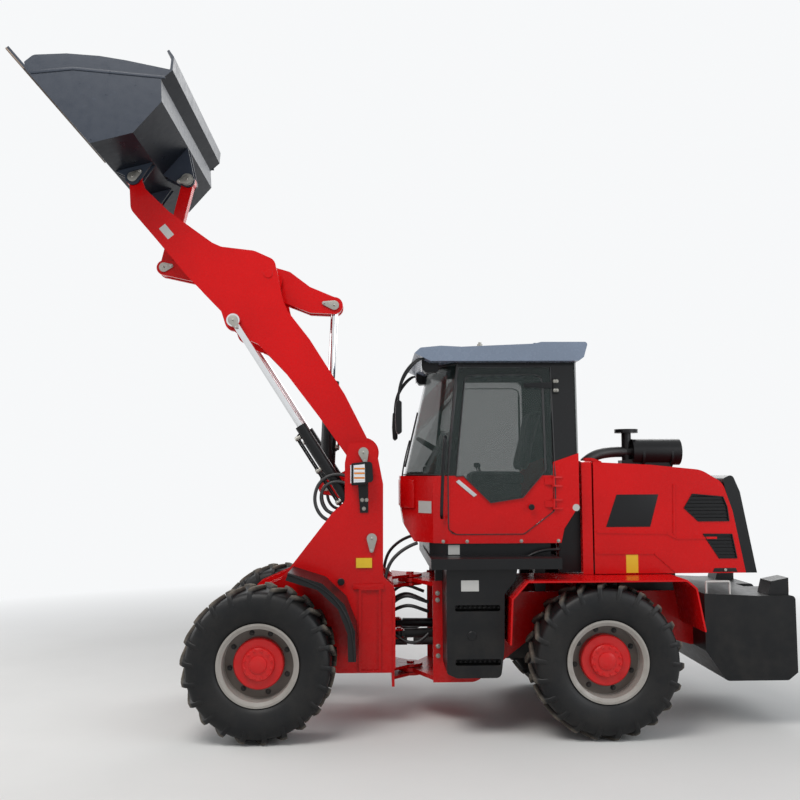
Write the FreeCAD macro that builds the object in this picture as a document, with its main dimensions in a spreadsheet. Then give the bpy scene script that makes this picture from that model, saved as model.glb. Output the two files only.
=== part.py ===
import FreeCAD, Part
import math
import os
import Sketcher

# Compact articulated wheel loader, in millimetres: +X forward, +Y left, +Z up.
# X is measured from the front axle and Z from the ground, and every piece is moved
# forward by front_axle_x, which puts the middle of the loader's length at the origin.

# name, millimetres or degrees, meaning
SIZES = [
    ("wheelbase", 2425, "front axle to rear axle"),
    ("track", 1500, "left wheel's middle to right wheel's middle"),
    ("tyre_radius", 537.5, "tyre's outer radius"),
    ("tyre_width", 405, "tyre across its side walls"),
    ("lug_height", 32, "tyre's lugs"),
    ("lug_width", 40, "tyre's lugs, across"),
    ("lug_lean", 25, "tyre's lugs, degrees off the axle's line"),
    ("bead_radius", 262, "tyre's bead on the rim"),
    ("flange_radius", 286, "rim's outer flange"),
    ("rim_wall", 14, "rim's thickness"),
    ("disc_offset", 20, "wheel disc outboard of the tyre's middle"),
    ("hub_radius", 176, "wheel's hub drum"),
    ("hub_depth", 80, "wheel's hub drum, outboard of its disc"),
    ("cap_radius", 113, "raised disc on the hub's drum"),
    ("cap_depth", 110, "raised disc's face, outboard of the wheel's disc"),
    ("nave_depth", 110, "wheel's hub inboard of the tyre's middle"),
    ("spindle_radius", 45, "axle's spindle in the hub"),
    ("axle_tube_radius", 78, "axle's side tubes"),
    ("banjo_radius", 165, "axle's middle housing"),
    ("shaft_radius", 32, "propeller shafts"),
    ("steer_x", -1085, "frame's pivot"),
    ("upper_pivot_z", 1020, "upper frame pivot"),
    ("lower_pivot_z", 330, "lower frame pivot"),
    ("pivot_radius", 95, "rounded end of the pivot plates"),
    ("pivot_pin", 30, "frame pivot pin's radius"),
    ("tongue_plate", 30, "rear frame's pivot plates"),
    ("fork_plate", 22, "front frame's pivot plates"),
    ("pivot_gap", 6, "between pivot plates"),
    ("pin_gap", 0.5, "round a pin in its bore"),
    ("boom_pin_x", -726, "boom's pivot"),
    ("boom_pin_z", 2008, "boom's pivot"),
    ("boom_pin", 35, "boom pivot pin's radius"),
    ("bucket_pin_x", 1050, "bucket's pivot"),
    ("bucket_pin_z", 4140, "bucket's pivot"),
    ("bucket_pin", 30, "bucket pin's radius"),
    ("crank_pin_x", 7, "bellcrank's pivot"),
    ("crank_pin_z", 3391, "bellcrank's pivot"),
    ("crank_pin", 37, "bellcrank pin's radius"),
    ("link_pin_x", 868, "bellcrank's front pin"),
    ("link_pin_z", 3500, "bellcrank's front pin"),
    ("link_pin", 25, "link's upper pin's radius"),
    ("bucket_link_pin", 36, "link's lower pin's radius"),
    ("pin_flange", 50, "link's lower pin's flanges' radius"),
    ("bucket_link_x", 693, "link's pin on the bucket"),
    ("bucket_link_z", 4217, "link's pin on the bucket"),
    ("tilt_eye_x", -490, "tilt cylinder's pin on the bellcrank"),
    ("tilt_eye_z", 3193, "tilt cylinder's pin on the bellcrank"),
    ("tilt_base_x", -425, "tilt cylinder's pin on the frame"),
    ("tilt_base_z", 1743, "tilt cylinder's pin on the frame"),
    ("tilt_pin", 27, "tilt cylinder pins' radius"),
    ("lift_base_x", -786, "lift cylinder's pin on the frame"),
    ("lift_base_z", 1370, "lift cylinder's pin on the frame"),
    ("lift_eye_x", 262, "lift cylinder's pin on the boom"),
    ("lift_eye_z", 3016, "lift cylinder's pin on the boom"),
    ("lift_pin", 27, "lift cylinder pins' radius"),
    ("arm_inner", 315, "boom arm's inner face from the middle"),
    ("arm_plate", 40, "boom arm's thickness"),
    ("inner_plate_y", 285, "front frame's inner plate, inner face"),
    ("outer_plate_y", 455, "front frame's outer plate, inner face"),
    ("frame_plate", 20, "front and rear frames' plates"),
    ("lift_y", 403, "lift cylinder's middle from the loader's middle"),
    ("lift_barrel", 43, "lift cylinder's barrel radius"),
    ("lift_rod", 26, "lift cylinder's rod radius"),
    ("tilt_barrel", 60, "tilt cylinder's barrel radius"),
    ("tilt_bore", 50, "tilt cylinder's bore radius"),
    ("tilt_rod", 30, "tilt cylinder's rod radius"),
    ("barrel_wall", 8, "cylinder barrels' wall"),
    ("rod_gap", 0.6, "rod in its gland"),
    ("crank_inner", 45, "bellcrank plate's inner face from the middle"),
    ("crank_plate", 30, "bellcrank plate's thickness"),
    ("bracket_plate", 20, "lug plates' thickness"),
    ("side_gap", 8, "beside a moving plate"),
    ("tube_radius", 70, "boom's cross tube"),
    ("bucket_half", 1000, "bucket's half width"),
    ("bucket_plate", 18, "bucket's sheet"),
    ("bucket_side", 24, "bucket's side plates"),
    ("lip_forward", 741, "cutting edge forward of the bucket pin"),
    ("lip_above", 734, "cutting edge above the bucket pin"),
    ("rail_y", 380, "rear frame rail's inner face from the middle"),
    ("rail_front_x", -1240, "rear frame rail's front end"),
    ("rail_rear_x", -3180, "rear frame rail's rear end"),
    ("platform_top", 1250, "platform's top"),
    ("platform_bottom", 1175, "platform's underside"),
    ("platform_front_x", -1202, "platform's front edge"),
    ("platform_rear_x", -2124, "platform's rear edge"),
    ("platform_half", 880, "platform's half width"),
    ("step_face", 830, "step box's outer face from the middle"),
    ("fender_top", 1098, "rear fenders' top"),
    ("fender_sheet", 12, "rear fenders' sheet"),
    ("guard_sheet", 10, "front mudguards' sheet"),
    ("guard_reach", 930, "mudguards' and fenders' outer edge from the middle"),
    ("rear_reach", 3869, "counterweight's rear face behind the front axle"),
    ("weight_front_x", -3200, "counterweight's front face"),
    ("weight_top", 968, "counterweight's top"),
    ("weight_bottom", 345, "counterweight's underside"),
    ("weight_half", 660, "counterweight's half width"),
    ("tow_bore", 20, "tow pin hole's radius"),
    ("tow_half", 90, "half the width of the counterweight's channel at the tow bracket"),
    ("tow_x", -3815, "tow pin hole"),
    ("tow_z", 640, "tow slot's middle"),
    ("tow_depth", 150, "tow slot's depth"),
    ("tow_plate", 16, "tow bracket's plate against the counterweight"),
    ("cab_half", 600, "cab's half width"),
    ("cab_nose_x", -1008, "cab's foremost point"),
    ("cab_rear_x", -2315, "cab's rear wall, outside"),
    ("cab_floor_z", 1336, "cab floor's underside"),
    ("sill_z", 1830, "windscreen's sill"),
    ("roof_z", 2673, "roof's underside"),
    ("roof_top", 2813, "roof's highest point"),
    ("roof_half", 665, "roof's half width"),
    ("cab_wall", 45, "cab's walls and door"),
    ("wheel_radius", 190, "steering wheel"),
    ("glass", 8, "glass"),
    ("door_front_x", -1350, "door's front edge"),
    ("door_rear_x", -2120, "door's rear edge"),
    ("door_gap", 6, "round the door"),
    ("bulkhead_front_x", -2345, "bulkhead behind the cab, front face"),
    ("bulkhead_rear_x", -2420, "bulkhead behind the cab, rear face"),
    ("hood_front_x", -2432, "hood's front edge"),
    ("hood_half", 550, "hood's half width"),
    ("hood_wall", 12, "hood's wall"),
    ("hood_top", 1927, "hood's top at its front"),
    ("hood_bottom", 1104, "hood's lower edge"),
    ("hood_axis_x", -2440, "hood's hinge"),
    ("hood_axis_z", 1945, "hood's hinge"),
    ("cleaner_radius", 105, "air cleaner's drum"),
]

doc = FreeCAD.newDocument("WheelLoader")
PLANES = {"side": "XZ_Plane", "top": "XY_Plane", "front": "YZ_Plane"}
NODES = []


def formula_of(value):
    """The sheet's formula for a size, or a plain number's own text."""
    return value.formula if isinstance(value, Size) else f"({float(value)!r})"


class Size(float):
    """A length that also knows the formula that gives it."""

    def __new__(cls, value, formula):
        size = float.__new__(cls, value)
        size.formula = formula
        return size

    def __add__(self, other):
        return Size(float(self) + float(other), f"({self.formula} + {formula_of(other)})")

    __radd__ = __add__

    def __sub__(self, other):
        return Size(float(self) - float(other), f"({self.formula} - {formula_of(other)})")

    def __rsub__(self, other):
        return Size(float(other) - float(self), f"({formula_of(other)} - {self.formula})")

    def __mul__(self, other):
        return Size(float(self) * float(other), f"({self.formula} * {formula_of(other)})")

    __rmul__ = __mul__

    def __truediv__(self, other):
        return Size(float(self) / float(other), f"({self.formula} / {formula_of(other)})")

    def __neg__(self):
        return Size(-float(self), f"(0 - {self.formula})")


class Sheet:
    """The sheet of driving sizes, read by name."""

    def __init__(self):
        sheet = doc.addObject("Spreadsheet::Sheet", "Sizes")
        for row, (name, value, meaning) in enumerate(SIZES, start=1):
            sheet.set(f"A{row}", name)
            sheet.set(f"B{row}", str(value))
            sheet.set(f"C{row}", meaning)
            sheet.setAlias(f"B{row}", name)
            setattr(self, name, Size(value, f"Sizes.{name}"))
        doc.recompute()


S = Sheet()
FRONT_AXLE_X = (S.rear_reach - S.bucket_pin_x - S.lip_forward) / 2
FRONT_AXLE = Size(0, "(0)")
REAR_AXLE = -S.wheelbase
AXLE_Z = S.tyre_radius
SADDLE_TOP = 640
LUGS = 22
GEARBOX_REAR = -2150
GEARBOX_FRONT = -1800
# steering cylinders: height, pins' x from the frame's pivot and y, and sizes
STEER_Z = 640
STEER_FRONT = (95, 260)
STEER_REAR = (-520, 200)
STEER_BARREL_LENGTH = 385
STEER_ROD_LENGTH = 396
STEER_BARREL = 35
STEER_BORE = 27
STEER_ROD = 20
STEER_PIN = 18
STEER_EYE_HALF = 21

# x and z of each pin's middle
BOOM = (S.boom_pin_x, S.boom_pin_z)
BUCKET = (S.bucket_pin_x, S.bucket_pin_z)
CRANK = (S.crank_pin_x, S.crank_pin_z)
LINK = (S.link_pin_x, S.link_pin_z)
BUCKET_LINK = (S.bucket_link_x, S.bucket_link_z)
TILT_EYE = (S.tilt_eye_x, S.tilt_eye_z)
TILT_BASE = (S.tilt_base_x, S.tilt_base_z)
LIFT_BASE = (S.lift_base_x, S.lift_base_z)
LIFT_EYE = (S.lift_eye_x, S.lift_eye_z)


def near(point, rows):
    """Rows of offsets from a point, as an outline's corners; a third value is a radius."""
    return [(point[0] + row[0], point[1] + row[1], *row[2:]) for row in rows]


def bind(thing, prop, value):
    """Set a property by its formula."""
    thing.setExpression(prop, formula_of(value))


def new_body(name):
    body = doc.addObject("PartDesign::Body", name)
    body.AllowCompound = True
    return body


def sketch(body, plane, shift, outline=(), circles=()):
    """A closed outline and round holes on one of the body's own planes."""
    drawing = body.newObject("Sketcher::SketchObject", "Profile")
    origin = next(p for p in body.Origin.OriginFeatures if p.Role == PLANES[plane])
    drawing.AttachmentSupport = (origin, [""])
    drawing.MapMode = "FlatFace"
    for axis, value in zip("xyz", shift):
        bind(drawing, f"AttachmentOffset.Base.{axis}", value)
    rules = []
    values = []
    lines = []
    for i, row in enumerate(outline):
        after = outline[(i + 1) % len(outline)]
        start = FreeCAD.Vector(float(row[0]), float(row[1]), 0)
        end = FreeCAD.Vector(float(after[0]), float(after[1]), 0)
        lines.append(Part.LineSegment(start, end))
        before = i - 1 if i else len(outline) - 1
        rules.append(Sketcher.Constraint("Coincident", before, 2, i, 1))
        rules.append(Sketcher.Constraint("DistanceX", -1, 1, i, 1, float(row[0])))
        rules.append(Sketcher.Constraint("DistanceY", -1, 1, i, 1, float(row[1])))
        values += [None, row[0], row[1]]
    for i, (x, y, radius) in enumerate(circles, start=len(outline)):
        centre = FreeCAD.Vector(float(x), float(y), 0)
        lines.append(Part.Circle(centre, FreeCAD.Vector(0, 0, 1), float(radius)))
        rules.append(Sketcher.Constraint("DistanceX", -1, 1, i, 3, float(x)))
        rules.append(Sketcher.Constraint("DistanceY", -1, 1, i, 3, float(y)))
        rules.append(Sketcher.Constraint("Radius", i, float(radius)))
        values += [x, y, radius]
    drawing.addGeometry(lines, False)
    drawing.addConstraint(rules)
    for i, value in enumerate(values):
        if isinstance(value, Size):
            bind(drawing, f"Constraints[{i}]", value)
    return drawing


def round_corners(body, plane, outline):
    """Round the corners whose rows give a radius, on the body's newest feature."""
    across = {"side": (0, 2), "top": (0, 1), "front": (1, 2)}[plane]
    groups = {}
    for row in outline:
        if len(row) > 2:
            groups.setdefault(formula_of(row[2]), []).append(row)
    for rows in groups.values():
        doc.recompute()
        names = []
        for i, edge in enumerate(body.Tip.Shape.Edges, start=1):
            if len(edge.Vertexes) != 2 or edge.Curve.TypeId != "Part::GeomLine":
                continue
            ends = [[v.Point[k] for k in across] for v in edge.Vertexes]
            if any(
                math.dist(end, (float(row[0]), float(row[1]))) < 0.01 for row in rows for end in ends
            ) and math.dist(ends[0], ends[1]) < 0.01:
                names.append(f"Edge{i}")
        rounding = body.newObject("PartDesign::Fillet", "Rounding")
        rounding.Base = (body.Tip if body.Tip != rounding else rounding.BaseFeature, names)
        bind(rounding, "Radius", rows[0][2])
        body.Tip = rounding


def slab(body, plane, low, high, outline=(), circles=(), cut=False):
    """Fill, or cut away, an outline between two planes."""
    shift = (0, 0, -high) if plane == "side" else (0, 0, low)
    profile = sketch(body, plane, shift, outline, circles)
    before = volume_of(body) if cut else 0
    feature = body.newObject("PartDesign::Pocket" if cut else "PartDesign::Pad", "Cut" if cut else "Slab")
    feature.Profile = profile
    feature.Reversed = cut
    bind(feature, "Length", high - low)
    body.Tip = feature
    if cut:
        doc.recompute()
        if volume_of(body) > before - 1:
            raise RuntimeError(f"a cut in {body.Name} takes nothing away")
    round_corners(body, plane, outline)
    return feature


def volume_of(body):
    doc.recompute()
    if body.Tip.Shape.isNull():
        raise RuntimeError(f"{body.Name} has no shape after {body.Tip.Name}")
    return body.Tip.Shape.Volume


def turned(body, axis, centre, rows, cut=False):
    """Turn a closed outline about an axis through a centre; each row is a distance along, a radius."""
    if axis == "x":
        plane, shift, line = "top", (0, centre[1], centre[2]), "H_Axis"
        outline = rows
    elif axis == "y":
        plane, shift, line = "top", (centre[0], 0, centre[2]), "V_Axis"
        outline = [(radius, along) for along, radius in rows]
    else:
        plane, shift, line = "side", (centre[0], 0, -centre[1]), "V_Axis"
        outline = [(radius, along) for along, radius in rows]
    profile = sketch(body, plane, shift, outline)
    before = volume_of(body) if cut else 0
    feature = body.newObject("PartDesign::Groove" if cut else "PartDesign::Revolution", "Turned")
    feature.Profile = profile
    feature.ReferenceAxis = (profile, [line])
    feature.Angle = 360
    body.Tip = feature
    if cut and volume_of(body) > before - 1:
        raise RuntimeError(f"a groove in {body.Name} takes nothing away")
    return feature


def loft(body, rows, cut=False, plane="top"):
    """Join outlines at several heights, or distances across; each row is that distance and an outline."""
    profiles = []
    for distance, outline in rows:
        shift = (0, 0, -distance) if plane == "side" else (0, 0, distance)
        profiles.append(sketch(body, plane, shift, outline))
    feature = body.newObject("PartDesign::SubtractiveLoft" if cut else "PartDesign::AdditiveLoft", "Lofted")
    feature.Profile = profiles[0]
    feature.Sections = profiles[1:]
    feature.Ruled = True
    body.Tip = feature
    doc.recompute()


def rod(body, axis, centre, low, high, radius, bore=0):
    """A round bar, or a tube, along an axis."""
    turned(body, axis, centre, [(low, bore), (high, bore), (high, radius), (low, radius)])


def mirrored(thing):
    """The same piece on the other side."""
    other = doc.addObject("Part::Mirroring", "Mirrored")
    other.Source = thing
    other.Normal = FreeCAD.Vector(0, 1, 0)
    return other


def joined(things):
    fuse = doc.addObject("Part::MultiFuse", "Joined")
    fuse.Shapes = things
    return fuse


def group(things):
    """Solids of one piece that don't touch."""
    held = doc.addObject("Part::Compound", "Group")
    held.Links = things
    return held


def box(low_u, high_u, low_v, high_v, radius=None):
    """A rectangle's corners, each with a radius if one is given."""
    corners = [(low_u, low_v), (high_u, low_v), (high_u, high_v), (low_u, high_v)]
    return corners if radius is None else [(u, v, radius) for u, v in corners]


def both_sides(body):
    return group([body, mirrored(body)])


def node(label, thing):
    """Name a finished piece and put it in the loader's frame."""
    thing.Label = label
    bind(thing, "Placement.Base.x", FRONT_AXLE_X)
    NODES.append(thing)


def sloped_node(label, thing, pin, angle):
    """A piece drawn along X from its pin, turned up to its place."""
    thing.Label = label
    turn = FreeCAD.Rotation(FreeCAD.Vector(0, 1, 0), -angle)
    thing.Placement = FreeCAD.Placement(FreeCAD.Vector(), turn)
    bind(thing, "Placement.Base.x", FRONT_AXLE_X + pin[0])
    bind(thing, "Placement.Base.z", pin[1])
    NODES.append(thing)


def angle_between(start, end):
    return math.degrees(math.atan2(end[1] - start[1], end[0] - start[0]))


def distance_between(start, end):
    return math.dist((float(start[0]), float(start[1])), (float(end[0]), float(end[1])))


def parallel(rows, distance):
    """A line of corners moved sideways to its left, mitred."""
    points = [FreeCAD.Vector(float(x), float(z), 0) for x, z in rows]
    up = FreeCAD.Vector(0, 0, 1)
    moved = []
    for i, point in enumerate(points):
        before = points[i] - points[i - 1] if i else points[1] - points[0]
        after = points[i + 1] - points[i] if i + 1 < len(points) else before
        left = [up.cross(way).normalize() for way in (before, after)]
        middle = (left[0] + left[1]).normalize()
        moved.append(point + middle * (distance / middle.dot(left[0])))
    return [(p.x, p.y) for p in moved]


def strip(rows, thickness):
    """A bent sheet's outline: a line of corners and the same line one thickness to its left."""
    return list(rows) + parallel(rows, thickness)[::-1]


# Front frame

TOWER = [
    # x, z, corner radius
    (-617, 2081, 25),
    (-586, 1930),
    (-586, 1640, 60),
    (-497, 1565),
    (-118, 1080, 60),
    (160, 960, 60),
    (160, 640),
    (-300, 640, 120),
    (-512, 390, 60),
    (-951, 390),
    (-951, 1014, 25),
    (-869, 1090, 60),
    (-872, 1771),
    (-812, 2081, 40),
]


def front_frame():
    outer_y = S.outer_plate_y
    inner_y = S.inner_plate_y
    plate = S.frame_plate
    side = new_body("TowerPlates")
    for y in (inner_y, outer_y):
        slab(side, "side", y, y + plate, TOWER)
    seat = box(-160, 160, inner_y + plate / 2, outer_y + plate / 2)
    slab(side, "top", SADDLE_TOP, SADDLE_TOP + plate, seat)
    pins = [
        # x, z, radius
        (BOOM[0], BOOM[1], S.boom_pin),
        (LIFT_BASE[0], LIFT_BASE[1], S.lift_pin),
    ]
    for x, z, radius in pins:
        slab(side, "side", inner_y - plate, outer_y + plate * 1.5, circles=[(x, z, radius)])
    middle = new_body("FrameCross")
    wide = outer_y + plate / 2
    rear_x = TOWER[9][0]
    webs = [
        # low x, high x, half width, low z, high z
        (rear_x, rear_x + plate, wide, S.lower_pivot_z - 43, 1014),
        (-705, -705 + plate, wide, 390, 1014),
        (rear_x, -685, wide, 994, 1014),
        (rear_x, -685, wide, 390, 410),
        (-160, 160, inner_y + plate / 2, 716, 740),
        (-620, -600, inner_y + plate / 2, 1500, 1960),
        (-600, -580, inner_y + plate / 2, 640, 1010),
    ]
    for low_x, high_x, half, low_z, high_z in webs:
        slab(middle, "front", low_x, high_x, box(-half, half, low_z, high_z))
    shaft_hole = [(0, AXLE_Z, S.shaft_radius + 38)]
    slab(middle, "front", rear_x - 5, -575, circles=shaft_hole, cut=True)
    half_gap = S.tongue_plate / 2 + S.pivot_gap
    for pivot_z in (S.upper_pivot_z, S.lower_pivot_z):
        for side_sign in (1, -1):
            near_z = pivot_z + side_sign * half_gap
            far_z = near_z + side_sign * S.fork_plate
            low, high = sorted((near_z, far_z))
            outline = [
                (rear_x + plate / 2, -230),
                (rear_x + plate / 2, 230),
                (S.steer_x + 10, S.pivot_radius - 1),
                (S.steer_x + 10, 1 - S.pivot_radius),
            ]
            slab(middle, "top", low, high, outline)
            slab(middle, "top", low, high, circles=[(S.steer_x, 0, S.pivot_radius)])
        reach = half_gap + S.fork_plate + 12
        slab(middle, "top", pivot_z - reach, pivot_z + reach, circles=[(S.steer_x, 0, S.pivot_pin)])
    lug_low = S.crank_inner + 5
    lug_rows = [(-185, -120), (-30, -62), (40, -48, 20), (62, 0), (40, 48, 20), (-20, 62), (-185, 150)]
    lugs = near(TILT_BASE, lug_rows)
    for low in (lug_low, -lug_low - S.bracket_plate):
        slab(middle, "side", low, low + S.bracket_plate, lugs)
    bore = [(TILT_BASE[0], TILT_BASE[1], S.tilt_pin + S.pin_gap)]
    slab(middle, "side", -lug_low - 40, lug_low + 40, circles=bore, cut=True)
    clevis = new_body("SteerClevis")
    x, y = S.steer_x + STEER_FRONT[0], STEER_FRONT[1]
    outline = [(rear_x + 5, y - 60), (rear_x + 5, y + 60), (x - 20, y + 32), (x - 20, y - 32)]
    for low in (STEER_Z - 35, STEER_Z + 23):
        slab(clevis, "top", low, low + 12, outline)
        slab(clevis, "top", low, low + 12, circles=[(x, y, 34)])
    slab(clevis, "top", STEER_Z - 43, STEER_Z + 43, circles=[(x, y, STEER_PIN)])
    node("front_frame", joined([side, mirrored(side), middle, clevis, mirrored(clevis)]))


def front_mudguards():
    guard = new_body("Mudguard")
    line = [(-668, 560), (-662, 765), (-590, 945), (-440, 1085), (-205, 1160)]
    slab(guard, "side", S.outer_plate_y + S.frame_plate, S.guard_reach, strip(line, S.guard_sheet))
    node("front_mudguards", both_sides(guard))


def axle(x, prop_end):
    """An axle housing with its spindles, saddles and the propeller shaft's half."""
    body = new_body("Housing")
    half = S.track / 2
    banjo = S.banjo_radius
    tube = S.axle_tube_radius
    spindle = S.spindle_radius
    outline = [
        # along, radius
        (-half + 30, 0),
        (-half + 30, spindle),
        (-half + 118, spindle),
        (-half + 118, tube + 22),
        (-half + 150, tube + 22),
        (-half + 170, tube),
        (-270, tube),
        (-120, banjo),
        (120, banjo),
        (270, tube),
        (half - 170, tube),
        (half - 150, tube + 22),
        (half - 118, tube + 22),
        (half - 118, spindle),
        (half - 30, spindle),
        (half - 30, 0),
    ]
    turned(body, "y", (x, 0, AXLE_Z), outline)
    for y in (-440, 320):
        slab(body, "top", AXLE_Z + tube / 2, SADDLE_TOP, box(x - 70, x + 70, y, y + 120))
    low, high = sorted((x, prop_end))
    rod(body, "x", (0, 0, AXLE_Z), low, high, S.shaft_radius)
    return body


def front_axle():
    node("front_axle", axle(FRONT_AXLE, S.steer_x + 25))


def many_sided(radius):
    """A polygon with one side to a lug."""
    steps = [2 * math.pi * i / LUGS for i in range(LUGS)]
    return [(radius * math.sin(step), radius * math.cos(step)) for step in steps]


def tyre_form():
    """A tyre round the origin: a many-sided carcass and two rows of slanted lugs, half a step apart."""
    half = S.tyre_width / 2
    crown = S.tyre_radius - S.lug_height
    seat = half - 44
    foot = (S.flange_radius + 1) / math.cos(math.pi / LUGS)
    carcass = new_body("Carcass")
    sections = [
        # across, radius
        (-seat, foot),
        (14 - half, 340),
        (-half, 415),
        (38 - half, crown),
        (half - 38, crown),
        (half, 415),
        (half - 14, 340),
        (seat, foot),
    ]
    loft(carcass, [(across, many_sided(radius)) for across, radius in sections], plane="side")
    bore = S.bead_radius / math.cos(math.pi / LUGS)
    slab(carcass, "side", -seat - 1, seat + 1, many_sided(bore), cut=True)
    row = new_body("LugRow")
    lean = math.radians(S.lug_lean)
    top = S.tyre_radius - 3.1
    lug = [
        # across the tyre from its middle, radius
        (8, 480),
        (8, top),
        (163, top),
        (199, 470),
        (202, 426),
        (188, 426),
    ]
    profile = sketch(row, "front", (0, 0, 0), [(across / math.cos(lean), radius) for across, radius in lug])
    spin = FreeCAD.Rotation(FreeCAD.Vector(0, 1, 0), -math.degrees(lean))
    profile.AttachmentOffset = FreeCAD.Placement(FreeCAD.Vector(0, 0, -105 * math.tan(lean)), spin)
    block = row.newObject("PartDesign::Pad", "Lug")
    block.Profile = profile
    bind(block, "Length", S.lug_width)
    block.Midplane = True
    row.Tip = block
    pattern = row.newObject("PartDesign::PolarPattern", "Round")
    pattern.Originals = [block]
    pattern.Axis = (next(line for line in row.Origin.OriginFeatures if line.Role == "Y_Axis"), [""])
    pattern.Angle = 360
    pattern.Occurrences = LUGS
    row.Tip = pattern
    other = mirrored(row)
    other.Placement = FreeCAD.Placement(FreeCAD.Vector(), FreeCAD.Rotation(FreeCAD.Vector(0, 1, 0), 180 / LUGS))
    return joined([carcass, row, other])


def tyre(name, form, x, side):
    """The same tyre at one of the four places."""
    placed = group([form])
    placed.Label = f"tyre_{name}"
    bind(placed, "Placement.Base.x", FRONT_AXLE_X + x)
    bind(placed, "Placement.Base.y", side * S.track / 2)
    bind(placed, "Placement.Base.z", AXLE_Z)
    NODES.append(placed)


def wheel(name, x, side):
    """A rim with its hub; side is 1 on the left."""
    half = S.tyre_width / 2
    middle = side * S.track / 2
    bead = S.bead_radius
    seat = half - 44
    rim = new_body(f"Rim{name}")
    wall = S.rim_wall
    edge = seat
    disc = S.disc_offset
    hub = S.hub_radius
    bore = S.spindle_radius + S.pin_gap
    profile = [
        # outwards from the tyre's middle, radius
        (-S.nave_depth, bore),
        (disc + S.cap_depth, bore),
        (disc + S.cap_depth, S.cap_radius - 6),
        (disc + S.cap_depth - 6, S.cap_radius),
        (disc + S.hub_depth, S.cap_radius),
        (disc + S.hub_depth, hub - 8),
        (disc + S.hub_depth - 8, hub),
        (disc + wall, hub),
        (disc + wall, bead - wall),
        (edge, bead - wall),
        (edge + wall, S.flange_radius - wall),
        (edge + wall, S.flange_radius),
        (edge, S.flange_radius),
        (edge, bead),
        (-edge, bead),
        (-edge, S.flange_radius),
        (-edge - wall, S.flange_radius),
        (-edge - wall, S.flange_radius - wall),
        (-edge, bead - wall),
        (disc, bead - wall),
        (disc, hub - 26),
        (-S.nave_depth, S.axle_tube_radius + 42),
    ]
    turned(rim, "y", (x, 0, AXLE_Z), [(middle + side * along, radius) for along, radius in profile])
    node(f"wheel_{name}", rim)


def headlamps():
    lamp = new_body("Headlamp")
    face = S.outer_plate_y + S.frame_plate
    case = [(-800, 1790, 25), (-640, 1770, 25), (-645, 1920, 25), (-790, 1940, 25)]
    slab(lamp, "side", face + 10, face + 130, case)
    slab(lamp, "side", face, face + 10, [(-760, 1560), (-700, 1560), (-680, 1850), (-760, 1850)])
    node("headlamps", both_sides(lamp))


# Boom and its linkage


def boom_arms():
    arm = new_body("Arm")
    low = S.arm_inner
    high = low + S.arm_plate
    outline = (
        near(BOOM, [(-25, 112), (143, 445)])
        + near(CRANK, [(-320, -511), (-150, -292), (-111, -198, 60)])
        + near(CRANK, [(-48, 108, 70), (108, 179, 120), (363, 210, 80)])
        + near(BUCKET, [(-610, -507), (-275, -263), (-87, -81), (-44, 44)])
        + near(BUCKET, [(44, 44), (30, -52), (18, -248, 100)])
        + near(LIFT_EYE, [(610, 647), (367, 357), (103, 83), (70, -20)])
        + near(LIFT_EYE, [(-60, -120), (-183, -174, 80), (-384, -384)])
        + near(BOOM, [(335, 269), (130, -20), (60, -100)])
    )
    slab(arm, "side", low, high, outline)
    for (x, z), radius in ((BOOM, 115), (BUCKET, 62), (LIFT_EYE, 72)):
        slab(arm, "side", low, high, circles=[(x, z, radius)])
    bores = [(BOOM, S.boom_pin), (BUCKET, S.bucket_pin)]
    for (x, z), radius in bores:
        slab(arm, "side", low - 1, high + 1, circles=[(x, z, radius + S.pin_gap)], cut=True)
    node("boom_arms", both_sides(arm))


def boom_tube():
    tube = new_body("CrossTube")
    centre = (CRANK[0] + 60, CRANK[1] - 243)
    slab(tube, "side", -S.arm_inner, S.arm_inner, circles=[(centre[0], centre[1], S.tube_radius)])
    low = S.crank_inner + S.crank_plate + S.side_gap
    high = low + S.bracket_plate
    outline = [
        (CRANK[0] - 80, CRANK[1]),
        (centre[0] - 115, centre[1]),
        (centre[0], centre[1] - 60),
        (centre[0] + 115, centre[1]),
        (CRANK[0] + 80, CRANK[1]),
    ]
    for start in (low, -high):
        end = start + S.bracket_plate
        slab(tube, "side", start, end, outline)
        slab(tube, "side", start, end, circles=[(CRANK[0], CRANK[1], 82)])
    bore = [(CRANK[0], CRANK[1], S.crank_pin + S.pin_gap)]
    slab(tube, "side", -high - 1, high + 1, circles=bore, cut=True)
    node("boom_cross_tube", tube)


# thickness of a pin's end flanges
FLANGE = 12


def pin_node(label, point, radius, half):
    pin = new_body("Pin")
    slab(pin, "side", -half, half, circles=[(point[0], point[1], radius)])
    node(label, pin)


def flanged_pin(label, point, radius, half):
    pin = new_body("FlangedPin")
    slab(pin, "side", -half, half, circles=[(point[0], point[1], radius)])
    for start in (-half, half - FLANGE):
        slab(pin, "side", start, start + FLANGE, circles=[(point[0], point[1], S.pin_flange)])
    node(label, pin)


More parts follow.
